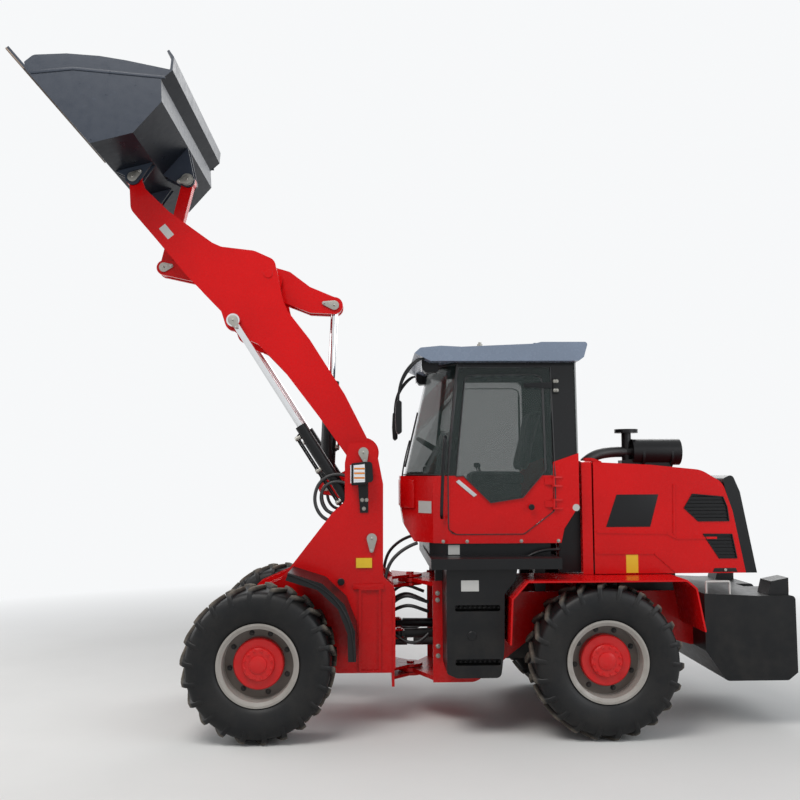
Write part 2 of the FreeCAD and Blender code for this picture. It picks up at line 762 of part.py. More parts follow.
def bellcrank():
    crank = new_body("Bellcrank")
    outline = (
        near(TILT_EYE, [(-40, 50), (3, 69)])
        + near(CRANK, [(-302, -48), (-142, 74, 60), (40, 128, 60), (400, 120, 60)])
        + near(LINK, [(-20, 58), (40, 30), (40, -30), (0, -60)])
        + near(CRANK, [(420, -50, 60), (60, -120, 60), (-143, -194, 60), (-303, -258)])
        + near(TILT_EYE, [(-13, -69), (-45, -48)])
    )
    low = S.crank_inner
    for start in (low, -low - S.crank_plate):
        end = start + S.crank_plate
        slab(crank, "side", start, end, outline)
        slab(crank, "side", start, end, circles=[(TILT_EYE[0], TILT_EYE[1], 68)])
        slab(crank, "side", start, end, circles=[(LINK[0], LINK[1], 60)])
    outer = low + S.crank_plate
    slab(crank, "side", -outer, outer, circles=[(CRANK[0], CRANK[1], 78)])
    for start in (-outer - S.side_gap, outer):
        slab(crank, "side", start, start + S.side_gap, circles=[(TILT_EYE[0], TILT_EYE[1], S.tilt_pin)])
    bore = [(CRANK[0], CRANK[1], S.crank_pin + S.pin_gap)]
    slab(crank, "side", -outer - 1, outer + 1, circles=bore, cut=True)
    for start, end in ((low - 4, outer + 8), (-outer - 8, 4 - low)):
        slab(crank, "side", start, end, circles=[(LINK[0], LINK[1], S.link_pin)])
    node("bellcrank", crank)


def tilt_link():
    link = new_body("Link")
    half = S.crank_inner - 6
    angle = math.radians(angle_between(LINK, BUCKET_LINK))
    across = (-math.sin(angle) * 46, math.cos(angle) * 46)
    outline = [
        (LINK[0] + across[0], LINK[1] + across[1]),
        (LINK[0] - across[0], LINK[1] - across[1]),
        (BUCKET_LINK[0] - across[0], BUCKET_LINK[1] - across[1]),
        (BUCKET_LINK[0] + across[0], BUCKET_LINK[1] + across[1]),
    ]
    slab(link, "side", -half, half, outline)
    for x, z in (LINK, BUCKET_LINK):
        slab(link, "side", -half, half, circles=[(x, z, 56)])
    slab(link, "side", -half - 1, half + 1, circles=[(LINK[0], LINK[1], S.link_pin + S.pin_gap)], cut=True)
    eye = [(BUCKET_LINK[0], BUCKET_LINK[1], S.bucket_link_pin + S.pin_gap)]
    slab(link, "side", -half - 1, half + 1, circles=eye, cut=True)
    node("tilt_link", link)


# x and z from the bucket pin, along the outside of the sheet from the cutting edge to the guard
BUCKET_BACK = [
    (141, 41),
    (-159, 118),
    (-359, 347),
    (-351, 504),
    (-432, 577),
    (-441, 675),
    (-405, 726),
]


def bucket():
    shell = new_body("BucketShell")
    half = S.bucket_half
    line = [(S.lip_forward, S.lip_above)] + BUCKET_BACK
    placed = [(BUCKET[0] + x, BUCKET[1] + z) for x, z in line]
    inside = parallel(placed, -S.bucket_plate)[::-1]
    slab(shell, "side", -half, half, placed + inside)
    sides = new_body("BucketSide")
    outline = near(
        BUCKET,
        [
            (600, 569),
            (141, 41, 150),
            (-159, 118, 150),
            (-359, 347, 60),
            (-351, 504),
            (-432, 577),
            (-103, 646),
            (85, 677),
            (319, 694),
            (552, 683, 60),
            (615, 630),
        ],
    )
    slab(sides, "side", half - S.bucket_side, half, outline)
    gap = S.side_gap - 2
    lug_rows = near(BUCKET, [(-159, 125), (-60, -20), (20, -55), (60, 10), (141, 48)])
    for low in (S.arm_inner - gap - S.bracket_plate, S.arm_inner + S.arm_plate + gap):
        slab(sides, "side", low, low + S.bracket_plate, lug_rows)
        slab(sides, "side", low, low + S.bracket_plate, circles=[(BUCKET[0], BUCKET[1], 60)])
    bore = [(BUCKET[0], BUCKET[1], S.bucket_pin + S.pin_gap)]
    slab(sides, "side", S.arm_inner - 60, S.arm_inner + S.arm_plate + 60, circles=bore, cut=True)
    lugs = new_body("LinkLug")
    low = S.crank_inner + 2
    corners = near(BUCKET_LINK, [(-50, 30), (-20, -56), (30, -50), (198, 42), (2, 272)])
    slab(lugs, "side", low, low + S.bracket_plate, corners)
    slab(lugs, "side", low, low + S.bracket_plate, circles=[(BUCKET_LINK[0], BUCKET_LINK[1], 58)])
    bore = [(BUCKET_LINK[0], BUCKET_LINK[1], S.bucket_link_pin + S.pin_gap)]
    slab(lugs, "side", low - 1, low + S.bracket_plate + 1, circles=bore, cut=True)
    node("bucket", joined([shell, sides, mirrored(sides), lugs, mirrored(lugs)]))


def bucket_pins():
    pin = new_body("BucketPin")
    gap = S.side_gap - 2
    low = S.arm_inner - gap - S.bracket_plate - 6
    high = S.arm_inner + S.arm_plate + gap + S.bracket_plate + 6
    slab(pin, "side", low, high, circles=[(BUCKET[0], BUCKET[1], S.bucket_pin)])
    node("bucket_pins", both_sides(pin))


LIFT_BARREL_LENGTH = 1000
LIFT_ROD_LENGTH = 1010
TILT_BARREL_LENGTH = 845
TILT_ROD_LENGTH = 800


def lift_cylinders():
    angle = angle_between(LIFT_BASE, LIFT_EYE)
    length = distance_between(LIFT_BASE, LIFT_EYE)
    y = S.lift_y
    half = S.lift_barrel
    barrel = new_body("LiftBarrel")
    wall = S.barrel_wall
    bore = half - wall
    profile = [
        # along, radius
        (50, 0),
        (70, 0),
        (70, bore),
        (LIFT_BARREL_LENGTH - 40, bore),
        (LIFT_BARREL_LENGTH - 40, S.lift_rod + S.rod_gap),
        (LIFT_BARREL_LENGTH, S.lift_rod + S.rod_gap),
        (LIFT_BARREL_LENGTH, half),
        (50, half),
    ]
    turned(barrel, "x", (0, y, 0), profile)
    slab(barrel, "side", y - half + 8, y + half - 8, circles=[(0, 0, 52)])
    slab(barrel, "side", y - half - 1, y + half + 1, circles=[(0, 0, S.lift_pin + S.pin_gap)], cut=True)
    sloped_node("lift_barrels", both_sides(barrel), LIFT_BASE, angle)
    rods = new_body("LiftRod")
    rod(rods, "x", (0, y, 0), length - LIFT_ROD_LENGTH, length - 30, S.lift_rod)
    slab(rods, "side", y - 34, y + 34, circles=[(length, 0, 50)])
    arm_outer = S.arm_inner + S.arm_plate
    slab(rods, "side", arm_outer + 4, y, circles=[(length, 0, S.lift_pin)])
    sloped_node("lift_rods", both_sides(rods), LIFT_BASE, angle)


def tilt_cylinder():
    angle = angle_between(TILT_BASE, TILT_EYE)
    length = distance_between(TILT_BASE, TILT_EYE)
    barrel = new_body("TiltBarrel")
    end = TILT_BARREL_LENGTH
    profile = [
        # along, radius
        (84, 0),
        (104, 0),
        (104, S.tilt_bore),
        (end - 60, S.tilt_bore),
        (end - 60, S.tilt_rod + S.rod_gap),
        (end, S.tilt_rod + S.rod_gap),
        (end, S.tilt_barrel),
        (84, S.tilt_barrel),
    ]
    turned(barrel, "x", (0, 0, 0), profile)
    half = S.crank_inner - 4
    slab(barrel, "side", -half, half, [(0, -50), (90, -50), (90, 50), (0, 50)])
    slab(barrel, "side", -half, half, circles=[(0, 0, 62)])
    slab(barrel, "side", -half - 1, half + 1, circles=[(0, 0, S.tilt_pin + S.pin_gap)], cut=True)
    sloped_node("tilt_barrel", barrel, TILT_BASE, angle)
    piston = new_body("TiltPiston")
    rod(piston, "x", (0, 0, 0), 670, 710, S.tilt_bore - S.pin_gap, S.tilt_rod + S.pin_gap)
    sloped_node("tilt_piston", piston, TILT_BASE, angle)
    shaft = new_body("TiltRod")
    rod(shaft, "x", (0, 0, 0), length - TILT_ROD_LENGTH, length - 40, S.tilt_rod)
    slab(shaft, "side", -half, half, circles=[(length, 0, 62)])
    sloped_node("tilt_rod", shaft, TILT_BASE, angle)


def steering_cylinders():
    """Barrel on the front frame's clevis, rod's eye on the rear frame."""
    length = math.dist(STEER_FRONT, STEER_REAR)
    for name, side in (("left", 1), ("right", -1)):
        away = (STEER_REAR[0] - STEER_FRONT[0], side * (STEER_REAR[1] - STEER_FRONT[1]))
        turn = math.degrees(math.atan2(away[1], away[0]))
        barrel = new_body("SteerBarrel")
        end = STEER_BARREL_LENGTH
        profile = [
            # along, radius
            (42, 0),
            (55, 0),
            (55, STEER_BORE),
            (end - 25, STEER_BORE),
            (end - 25, STEER_ROD + S.rod_gap),
            (end, STEER_ROD + S.rod_gap),
            (end, STEER_BARREL),
            (42, STEER_BARREL),
        ]
        turned(barrel, "x", (0, 0, 0), profile)
        half = STEER_EYE_HALF
        slab(barrel, "top", -half, half, box(0, 46, -28, 28))
        slab(barrel, "top", -half, half, circles=[(0, 0, 33)])
        slab(barrel, "top", -half - 1, half + 1, circles=[(0, 0, STEER_PIN + S.pin_gap)], cut=True)
        shaft = new_body("SteerRod")
        rod(shaft, "x", (0, 0, 0), length - STEER_ROD_LENGTH, length - 20, STEER_ROD)
        slab(shaft, "top", -half, half, circles=[(length, 0, 32)])
        for label, thing in ((f"steer_barrel_{name}", barrel), (f"steer_rod_{name}", shaft)):
            thing.Label = label
            place = FreeCAD.Vector(0, side * STEER_FRONT[1], STEER_Z)
            thing.Placement = FreeCAD.Placement(place, FreeCAD.Rotation(FreeCAD.Vector(0, 0, 1), turn))
            bind(thing, "Placement.Base.x", FRONT_AXLE_X + S.steer_x + STEER_FRONT[0])
            NODES.append(thing)


# Rear frame and what it carries


def rear_frame():
    rail = new_body("Rail")
    outline = [
        # x, z, corner radius
        (S.rail_front_x, 300),
        (S.rail_front_x, 1046),
        (-1520, 1046, 60),
        (-1560, 960, 60),
        (S.rail_rear_x, 960),
        (S.rail_rear_x, 560),
        (-2900, 640, 80),
        (-2000, 640, 120),
        (-1560, 300, 120),
    ]
    plate = S.frame_plate
    slab(rail, "side", S.rail_y, S.rail_y + plate, outline)
    cross = new_body("RearCross")
    half = S.rail_y + plate / 2
    for pivot_z in (S.upper_pivot_z, S.lower_pivot_z):
        low = pivot_z - S.tongue_plate / 2
        high = pivot_z + S.tongue_plate / 2
        tongue = [
            (-1500, -half),
            (S.rail_front_x, -half),
            (S.steer_x - 12, 4 - S.pivot_radius),
            (S.steer_x - 12, S.pivot_radius - 4),
            (S.rail_front_x, half),
            (-1500, half),
        ]
        slab(cross, "top", low, high, tongue)
        slab(cross, "top", low, high, circles=[(S.steer_x, 0, S.pivot_radius)])
    bore = [(S.steer_x, 0, S.pivot_pin + S.pin_gap)]
    slab(cross, "top", S.lower_pivot_z - 40, S.upper_pivot_z + 40, circles=bore, cut=True)
    webs = [
        # low x, high x, low z, high z
        (-1680, -1660, 560, 900),
        (-2640, -2560, 700, 760),
        (-3080, -3000, 700, 760),
        (-2600, -2300, 760, 780),
        (S.rail_rear_x - plate, S.rail_rear_x, 560, 960),
    ]
    for low_x, high_x, low_z, high_z in webs:
        slab(cross, "front", low_x, high_x, box(-half, half, low_z, high_z))
    slab(cross, "front", -1700, -1640, circles=[(0, AXLE_Z + 40, 80)], cut=True)
    eye = new_body("SteerEye")
    x, y = S.steer_x + STEER_REAR[0], STEER_REAR[1]
    for low in (STEER_Z - 38, STEER_Z + 26):
        plan = [(-1665, y - 50), (x, y - 34), (x, y + 34), (-1665, y + 50)]
        slab(eye, "top", low, low + 12, plan)
        slab(eye, "top", low, low + 12, circles=[(x, y, 34)])
    for low in (STEER_Z - 46, STEER_Z + 38):
        slab(eye, "top", low, low + 8, circles=[(x, y, STEER_PIN)])
    hanger = new_body("AxleHanger")
    x = REAR_AXLE
    slab(hanger, "side", 330, S.rail_y + 5, [(x - 70, 640), (x + 70, 640), (x + 90, 700), (x - 90, 700)])
    node("rear_frame", joined([rail, mirrored(rail), cross, eye, mirrored(eye), hanger, mirrored(hanger)]))


def rear_axle():
    node("rear_axle", axle(REAR_AXLE, GEARBOX_REAR))


def gearbox():
    """The gearbox under the cab, with the half shaft to the frame's pivot."""
    case = new_body("Gearbox")
    slab(case, "side", -190, 190, box(GEARBOX_REAR, GEARBOX_FRONT, 430, 760))
    rod(case, "x", (0, 0, AXLE_Z), GEARBOX_FRONT, S.steer_x - 25, S.shaft_radius)
    slab(case, "side", -S.rail_y, S.rail_y, box(-2100, -2000, 700, 740))
    node("gearbox", case)


def engine():
    block = new_body("Engine")
    slab(block, "side", -260, 260, box(-3120, -2600, 760, 1500))
    node("engine", block)


def platform():
    deck = new_body("Deck")
    half = S.platform_half
    plan = box(S.platform_rear_x, S.platform_front_x, -half, half)
    slab(deck, "top", S.platform_bottom, S.platform_top, plan)
    posts = new_body("DeckPosts")
    for x, rail_top in ((-1300, 1046), (-2050, 960)):
        plan = box(x - 40, x + 40, S.rail_y - 40, S.rail_y + S.frame_plate)
        slab(posts, "top", rail_top, S.platform_bottom, plan)
    node("platform", joined([deck, posts, mirrored(posts)]))


def cab_skirt():
    skirt = new_body("Skirt")
    half = S.cab_half - 20
    plan = [(-2100, -half), (-1330, -half), (-1215, -450), (-1215, 450), (-1330, half), (-2100, half)]
    slab(skirt, "top", S.platform_top, S.cab_floor_z, plan)
    node("cab_skirt", skirt)


# the steps' middles above the ground
STEP_HEIGHTS = (902, 528)


def step_box(label, side):
    steps = new_body("StepBox")
    outline = [
        # x, z, corner radius
        (-1312, 450, 20),
        (-1312, S.platform_bottom),
        (-1816, S.platform_bottom),
        (-1800, 1090, 40),
        (-1722, 1000, 40),
        (-1716, 620),
        (-1690, 420, 40),
        (-1380, 420, 20),
    ]
    low, high = S.rail_y + S.frame_plate, S.step_face
    slab(steps, "side", low, high, outline)
    for z in STEP_HEIGHTS:
        slot = box(-1690, -1370, z - 22, z + 22, 15)
        slab(steps, "side", high - 120, high, slot, cut=True)
    node(label, steps if side > 0 else mirrored(steps))


def rear_fenders():
    fender = new_body("Fender")
    top = S.fender_top
    line = [(-1742, 660), (-1758, 975), (-1870, top), (-2990, top), (-3060, 1040), (-3115, 740)]
    slab(fender, "side", S.rail_y + S.frame_plate, S.guard_reach, strip(line, S.fender_sheet))
    node("rear_fenders", both_sides(fender))


def counterweight():
    """A casting with a channel open at its top and rear; its four blocks touch."""
    rear = -S.rear_reach
    channel_end = rear + S.tow_depth
    outline = [
        # x, z, corner radius
        (S.weight_front_x, S.weight_top),
        (-3600, S.weight_top - 20),
        (rear, S.weight_top - 20, 30),
        (rear, S.weight_bottom + 55),
        (rear + 70, S.weight_bottom, 30),
        (-3347, S.weight_bottom, 40),
        (S.weight_front_x, 560),
    ]
    side = new_body("WeightSide")
    slab(side, "side", S.tow_half, S.weight_half, outline)
    core = new_body("WeightCore")
    slab(core, "side", -S.tow_half, S.tow_half, outline)
    slab(core, "side", -S.tow_half, S.tow_half, box(rear - 5, channel_end, 300, 1000), cut=True)
    foot = new_body("WeightFoot")
    foot_outline = [
        # x, z, corner radius
        (channel_end, S.tow_z - 80),
        (rear, S.tow_z - 80),
        (rear, S.weight_bottom + 55),
        (rear + 70, S.weight_bottom, 30),
        (channel_end, S.weight_bottom),
    ]
    slab(foot, "side", -S.tow_half, S.tow_half, foot_outline)
    node("counterweight", group([side, mirrored(side), core, foot]))


def tow_bracket():
    """Two plates bored for the tow pin, on a plate against the channel's end."""
    back = S.tow_depth - S.rear_reach
    backing = new_body("TowBacking")
    slab(backing, "front", back - S.tow_plate, back, box(-80, 80, S.tow_z - 70, S.tow_z + 70))
    start = back - S.tow_plate
    plan = [(start, -60), (start, 60)] + near((S.tow_x, 0), [(0, 50), (-40, 30), (-40, -30), (0, -50)])
    plates = []
    for low in (S.tow_z - 55, S.tow_z + 30):
        plate = new_body("TowPlate")
        slab(plate, "top", low, low + 25, plan)
        slab(plate, "top", low - 1, low + 26, circles=[(S.tow_x, 0, S.tow_bore)], cut=True)
        plates.append(plate)
    node("tow_bracket", group([backing, *plates]))


def tail_lamps():
    lamp = new_body("TailLamp")
    rear = -S.rear_reach
    top = S.weight_top
    outline = near((rear, top), [(32, -20), (186, -20), (160, 80), (30, 105)])
    slab(lamp, "side", 430, 620, outline)
    node("tail_lamps", both_sides(lamp))


# the hood's ears across, and its hinge's radii
HOOD_EAR = (436, 456)
EAR_RADIUS = 14
HINGE_PIN = 8


def bulkhead():
    wall = new_body("Bulkhead")
    half = S.hood_half
    foot = S.rail_y + S.frame_plate
    outline = [
        (-foot, 960),
        (foot, 960),
        (foot, 1100),
        (half, 1100),
        (half, S.hood_top),
        (half - 60, S.hood_top + 10),
        (60 - half, S.hood_top + 10),
        (-half, S.hood_top),
        (-half, 1100),
        (-foot, 1100),
    ]
    slab(wall, "front", S.bulkhead_rear_x, S.bulkhead_front_x, outline)
    x, z = S.hood_axis_x, S.hood_axis_z
    hinges = new_body("HoodHinge")
    for low in (HOOD_EAR[0] - 16, HOOD_EAR[1] + 4):
        slab(hinges, "side", low, low + 12, box(x, x + 50, z - EAR_RADIUS, z + EAR_RADIUS))
        slab(hinges, "side", low, low + 12, circles=[(x, z, EAR_RADIUS)])
    slab(hinges, "side", HOOD_EAR[0] - 22, HOOD_EAR[1] + 22, circles=[(x, z, HINGE_PIN)])
    node("bulkhead", joined([wall, hinges, mirrored(hinges)]))


HOOD_SIDE = [
    # x, z, corner radius
    (S.hood_front_x, S.hood_top),
    (-2860, 1905),
    (-3243, 1866, 200),
    (-3400, 1770, 120),
    (-3470, 1560),
    (-3555, S.hood_bottom),
    (S.hood_front_x, S.hood_bottom),
]


def hood():
    shell = new_body("Hood")
    half = S.hood_half
    wall = S.hood_wall
    slab(shell, "side", -half, half, HOOD_SIDE)
    inner = [
        # x, z, corner radius
        (S.hood_front_x + 5, S.hood_top - wall),
        (-2860, 1905 - wall),
        (-3235, 1866 - wall, 190),
        (-3385, 1775, 110),
        (-3456, 1560),
        (-3555 + wall, S.hood_bottom - 5),
        (S.hood_front_x + 5, S.hood_bottom - 5),
    ]
    slab(shell, "side", wall - half, half - wall, inner, cut=True)
    for vent in VENTS:
        slab(shell, "side", -half - 1, half + 1, vent, cut=True)
    x, z = S.hood_axis_x, S.hood_axis_z
    ear = new_body("HoodEar")
    foot = [(row, hood_top_at(row)) for row in (-2460, -2520)]
    low, high = HOOD_EAR
    slab(ear, "side", low, high, foot + [(-2520, 1932), (x - 20, z + 12), (x, z + 12), (x, z - 12)])
    slab(ear, "side", low, high, circles=[(x, z, EAR_RADIUS)])
    slab(ear, "side", low - 1, high + 1, circles=[(x, z, HINGE_PIN + S.pin_gap)], cut=True)
    node("hood", joined([shell, ear, mirrored(ear)]))


# the vents in the hood's sides: x, z
VENTS = [
    [(-3107, 1583), (-3170, 1686), (-3400, 1664), (-3428, 1590), (-3440, 1486), (-3209, 1486)],
    [(-3243, 1390), (-3458, 1388), (-3490, 1213), (-3357, 1213)],
]


def hood_vents():
    """A plate with slats in each opening, sunk a little below the hood's face."""
    plates = new_body("Vents")
    outer = S.hood_half - 6
    for vent in VENTS:
        slab(plates, "side", outer - 6, outer, vent)
    node("hood_vents", both_sides(plates))


# the grille's recess: its foot, its top and its depth
GRILLE_LOW = 1150
GRILLE_HIGH = 1690
GRILLE_DEPTH = 30


def rear_grille():
    grille = new_body("Grille")
    outline = [
        # x, z, corner radius
        (-3405, 1800, 20),
        (-3475, 1833, 30),
        (-3530, 1700),
        (-3638, S.hood_bottom),
        (-3555, S.hood_bottom),
        (-3470, 1560),
        (-3425, 1695),
    ]
    half = S.hood_half
    slab(grille, "side", -half, half, outline)
    (top_x, top_z), (foot_x, foot_z) = outline[2], outline[3]
    slope = (top_x - foot_x) / (top_z - foot_z)
    low_x, high_x = (top_x + (z - top_z) * slope for z in (GRILLE_LOW, GRILLE_HIGH))
    recess = [
        (low_x, GRILLE_LOW),
        (low_x + GRILLE_DEPTH, GRILLE_LOW),
        (high_x + GRILLE_DEPTH, GRILLE_HIGH),
        (high_x, GRILLE_HIGH),
        (foot_x - 60, GRILLE_HIGH),
        (foot_x - 60, GRILLE_LOW),
    ]
    slab(grille, "side", 80 - half, half - 80, recess, cut=True)
    for z in range(GRILLE_LOW + 30, GRILLE_HIGH - 10, 50):
        slat = near((top_x + (z - top_z) * slope, z), [(8, -14), (34, 2), (34, 14), (8, -2)])
        slab(grille, "side", 70 - half, half - 70, slat)
    node("rear_grille", grille)


def hood_top_at(x):
    """The hood's height on its straight top, at x."""
    rows = HOOD_SIDE[:3]
    for (x0, z0), (x1, z1) in ((rows[0], rows[1]), (rows[1], rows[2][:2])):
        if x1 <= x <= x0:
            return float(z0) + (x - float(x0)) * (float(z1) - float(z0)) / (float(x1) - float(x0))
    raise ValueError(f"the hood's top doesn't reach {x}")


def air_cleaner():
    """A drum along the hood's top, with its inlet pipe and rain cap."""
    cleaner = new_body("AirCleaner")
    z = 2012
    pipe_x = -2835
    rod(cleaner, "x", (0, 0, z), -3256, -2870, S.cleaner_radius)
    foot = [(x, hood_top_at(x)) for x in (-3180, -2860, -2780)]
    slab(cleaner, "side", -60, 60, foot + [(-2780, 1945), (-2950, 1965), (-2950, z), (-3180, z)])
    rod(cleaner, "z", (pipe_x, 0, 0), 2165, 2195, 92)
    rod(cleaner, "z", (pipe_x, 0, 0), 1925, 2170, 38)
    rod(cleaner, "x", (0, 0, z), -2875, pipe_x + 5, 45)
    node("air_cleaner", cleaner)


# Cab


def cab_plan(nose_x, corner_x, pillar_x, half, inset):
    """The cab's outline from above, moved inwards."""
    rear = S.cab_rear_x + inset
    side = half - inset
    nose = nose_x - inset
    corner = (corner_x - 0.6 * inset, half - 80 - 0.8 * inset)
    left = [(rear, side), (pillar_x, side), corner, (nose, 200 - 0.45 * inset)]
    return left + [(x, -y) for x, y in left[::-1]]


def cab_section(z, inset):
    """The cab's outline at the sill or under the roof."""
    if z < S.roof_z - 1:
        return cab_plan(S.cab_nose_x - 40, -1250, -1345, S.cab_half, inset)
    return cab_plan(-1240, -1370, -1425, S.cab_half - 35, inset)


def cab_shell(body, outer, inner):
    """The cab's upper wall between two insets, from the sill to the roof."""
    low, high = S.sill_z, S.roof_z
    loft(body, [(low, cab_section(low, outer)), (high, cab_section(high, outer))])
    loft(body, [(low, cab_section(low, inner)), (high, cab_section(high, inner))], cut=True)


# the door's hinge axis from above, and the heights of its hinges' middles
DOOR_AXIS = (-2123, 618)
DOOR_HINGES = (1620, 1785)
# the rear corner where the tub stands above the sill: x, z
TUB_CORNER = [(-2038, S.sill_z), (-2125, 1928), (-2330, 1998), (-2330, S.sill_z)]
# the window's lower part, below the sill
WINDOW_DIP = [(-1460, S.sill_z), (-1660, 1632), (-1895, 1668), (-2038, S.sill_z)]
# the window line along the cab's side: x, z
WINDOW_LINE = [(-1240, S.sill_z)] + WINDOW_DIP[:3] + TUB_CORNER[1:3]


def cab_tub():
    tub = new_body("Tub")
    half = S.cab_half
    wall = S.cab_wall
    low, high = S.cab_floor_z, 2000
    plan = cab_plan(S.cab_nose_x, -1240, -1340, half, 0)
    inner = cab_plan(S.cab_nose_x, -1240, -1340, half, wall)
    slab(tub, "top", low, high, plan)
    slab(tub, "top", low + 40, high + 5, inner, cut=True)
    wide = half + 10
    above = [(-990, S.sill_z)] + WINDOW_LINE + [(-2330, 2010), (-990, 2010)]
    slab(tub, "side", -wide, wide, above, cut=True)
    nose = [(-1000, 1660), (-990, 1330), (-1110, 1330), (-1036, 1452)]
    slab(tub, "side", -wide, wide, nose, cut=True)
    tail = [(-2175, 1330), (-2320, 1330), (-2320, 1620), (-2200, 1440)]
    slab(tub, "side", -wide, wide, tail, cut=True)
    gap = S.door_gap
    doorway = [
        (S.door_front_x + gap, 2010),
        (S.door_front_x + gap, 1440 - gap, 40),
        (-1410 + gap, 1405 - gap),
        (-1900 - gap, 1405 - gap),
        (S.door_rear_x - gap, 1565, 30),
        (S.door_rear_x - gap, 2010),
    ]
    slab(tub, "side", half - wall - 5, half + 5, doorway, cut=True)
    pin_x, pin_y = DOOR_AXIS
    leaf = [(pin_x - 7, half), (pin_x - 67, half), (pin_x - 67, half + 7), (pin_x - 7, half + 25)]
    for z in DOOR_HINGES:
        for low in (z - 38, z + 25):
            slab(tub, "top", low, low + 13, leaf)
            slab(tub, "top", low, low + 13, circles=[(pin_x, pin_y, 12)])
        slab(tub, "top", z - 38, z + 38, circles=[(pin_x, pin_y, 7)])
    node("cab_tub", tub)


def below_tub():
    """The tub's rear corner, a little larger outwards."""
    sill, *corner, rear = TUB_CORNER
    return [sill, *corner, (rear[0], S.sill_z - 5), (sill[0], S.sill_z - 5)]


def cab_pillars():
    frame = new_body("Pillars")
    low, high = S.sill_z, S.roof_z
    cab_shell(frame, S.glass, S.cab_wall)
    wide = S.cab_half + 10
    top = high - 45
    front = [(-430, low + 30), (430, low + 30), (390, top), (-390, top)]
    slab(frame, "front", -1345, -1000, front, cut=True)
    corner = [(-1040, low + 30), (-1310, low + 30), (-1385, top), (-1200, top)]
    slab(frame, "side", -wide, wide, corner, cut=True)
    side = [(-1395, low - 5), (-1475, top, 60), (-2080, top, 60), (-2090, low - 5)]
    slab(frame, "side", -wide, 0, side, cut=True)
    gap = S.door_gap
    doorway = [
        (S.door_front_x + gap, low - 5),
        (-1432, top + 12),
        (S.door_rear_x - gap, top + 12),
        (S.door_rear_x - gap, low - 5),
    ]
    slab(frame, "side", 0, wide, doorway, cut=True)
    rear = [(-430, 2040, 60), (430, 2040, 60), (430, top, 60), (-430, top, 60)]
    slab(frame, "front", S.cab_rear_x - 10, S.cab_rear_x + 80, rear, cut=True)
    slab(frame, "side", -wide, wide, below_tub(), cut=True)
    node("cab_pillars", frame)


def cab_roof():
    roof = new_body("Roof")
    outline = [
        # x, z, corner radius
        (-1104, 2732),
        (-1148, 2772, 20),
        (-1300, 2786),
        (-1450, 2778),
        (-1990, 2800),
        (-2040, S.roof_top, 30),
        (-2389, S.roof_top, 20),
        (-2356, 2700),
        (-2320, S.roof_z),
        (-1222, S.roof_z),
    ]
    slab(roof, "side", -S.roof_half, S.roof_half, outline)
    node("cab_roof", roof)


def cab_lamps():
    """Work lamps under the roof's front and rear edges."""
    lamps = new_body("CabLamp")
    front = [
        # x, z, corner radius
        (-1290, S.roof_z),
        (-1222, S.roof_z),
        (-1165, 2701.5),
        (-1165, 2640, 15),
        (-1190, 2600, 15),
        (-1290, 2610, 15),
    ]
    slab(lamps, "side", 420, 530, front)
    node("cab_lamps", both_sides(lamps))


def windscreen():
    pane = new_body("Windscreen")
    cab_shell(pane, 0, S.glass)
    low, high = S.sill_z, S.roof_z
    wide = S.cab_half + 10
    rear = [(-1335, low - 5), (-1415, high + 5), (-2400, high + 5), (-2400, low - 5)]
    slab(pane, "side", -wide, wide, rear, cut=True)
    node("windscreen", pane)


def side_glass():
    pane = new_body("SideGlass")
    low, high = S.sill_z, S.roof_z
    cab_shell(pane, 0, S.glass)
    wide = S.cab_half + 10
    front = [(-1350, low - 5), (-1432, high + 5), (-900, high + 5), (-900, low - 5)]
    slab(pane, "side", -wide, wide, front, cut=True)
    slab(pane, "side", 0, wide, box(-2300, -900, low - 5, high + 5), cut=True)
    slab(pane, "side", -wide, 0, box(-2300, -2130, low - 5, high + 5), cut=True)
    slab(pane, "side", -wide, wide, below_tub(), cut=True)
    slab(pane, "side", -S.cab_half, S.glass - S.cab_half, WINDOW_DIP)
    node("cab_glass", pane)


def door():
    low, high = S.sill_z, S.roof_z
    half = S.cab_half
    wall = S.cab_wall
    panel = new_body("DoorPanel")
    line = [
        (S.door_front_x, S.sill_z),
        (S.door_front_x, 1440, 40),
        (-1410, 1405),
        (-1900, 1405),
        (S.door_rear_x, 1565 + 3, 30),
        (S.door_rear_x, S.sill_z),
    ]
    slab(panel, "side", half - wall, half, line + WINDOW_DIP[::-1])
    pin_x, pin_y = DOOR_AXIS
    leaf = [(pin_x + 7, half), (pin_x + 63, half), (pin_x + 63, half + 7), (pin_x + 7, half + 25)]
    for z in DOOR_HINGES:
        slab(panel, "top", z - 23, z + 23, leaf)
        slab(panel, "top", z - 23, z + 23, circles=[(pin_x, pin_y, 12)])
        slab(panel, "top", z - 24, z + 24, circles=[(pin_x, pin_y, 7 + S.pin_gap)], cut=True)
    node("door_panel", panel)
    frame = new_body("DoorFrame")
    cab_shell(frame, S.glass, wall)
    wide = half + 10
    whole = box(-2400, -900, low - 5, high + 5)
    above = box(-2400, -900, high - 40, high + 5)
    before = [
        (S.door_front_x, low - 5),
        (-1432 - S.door_gap, high - 39),
        (-1432, high + 5),
        (-900, high + 5),
        (-900, low - 5),
    ]
    behind = box(-2400, S.door_rear_x, low - 5, high + 5)
    slab(frame, "side", -wide, 300, whole, cut=True)
    for edge in (before, behind, above):
        slab(frame, "side", 0, wide, edge, cut=True)
    opening = [(-1405, low - 5), (-1485, high - 95, 60), (-2060, high - 95, 60), (-2068, 1866), (-2033, low - 5)]
    slab(frame, "side", 0, wide, opening, cut=True)
    node("door_frame", frame)
    pane = new_body("DoorGlass")
    cab_shell(pane, 0, S.glass)
    slab(pane, "side", -wide, 300, whole, cut=True)
    for edge in (before, behind, above):
        slab(pane, "side", 0, wide, edge, cut=True)
    slab(pane, "side", half - S.glass, half, WINDOW_DIP)
    node("door_glass", pane)


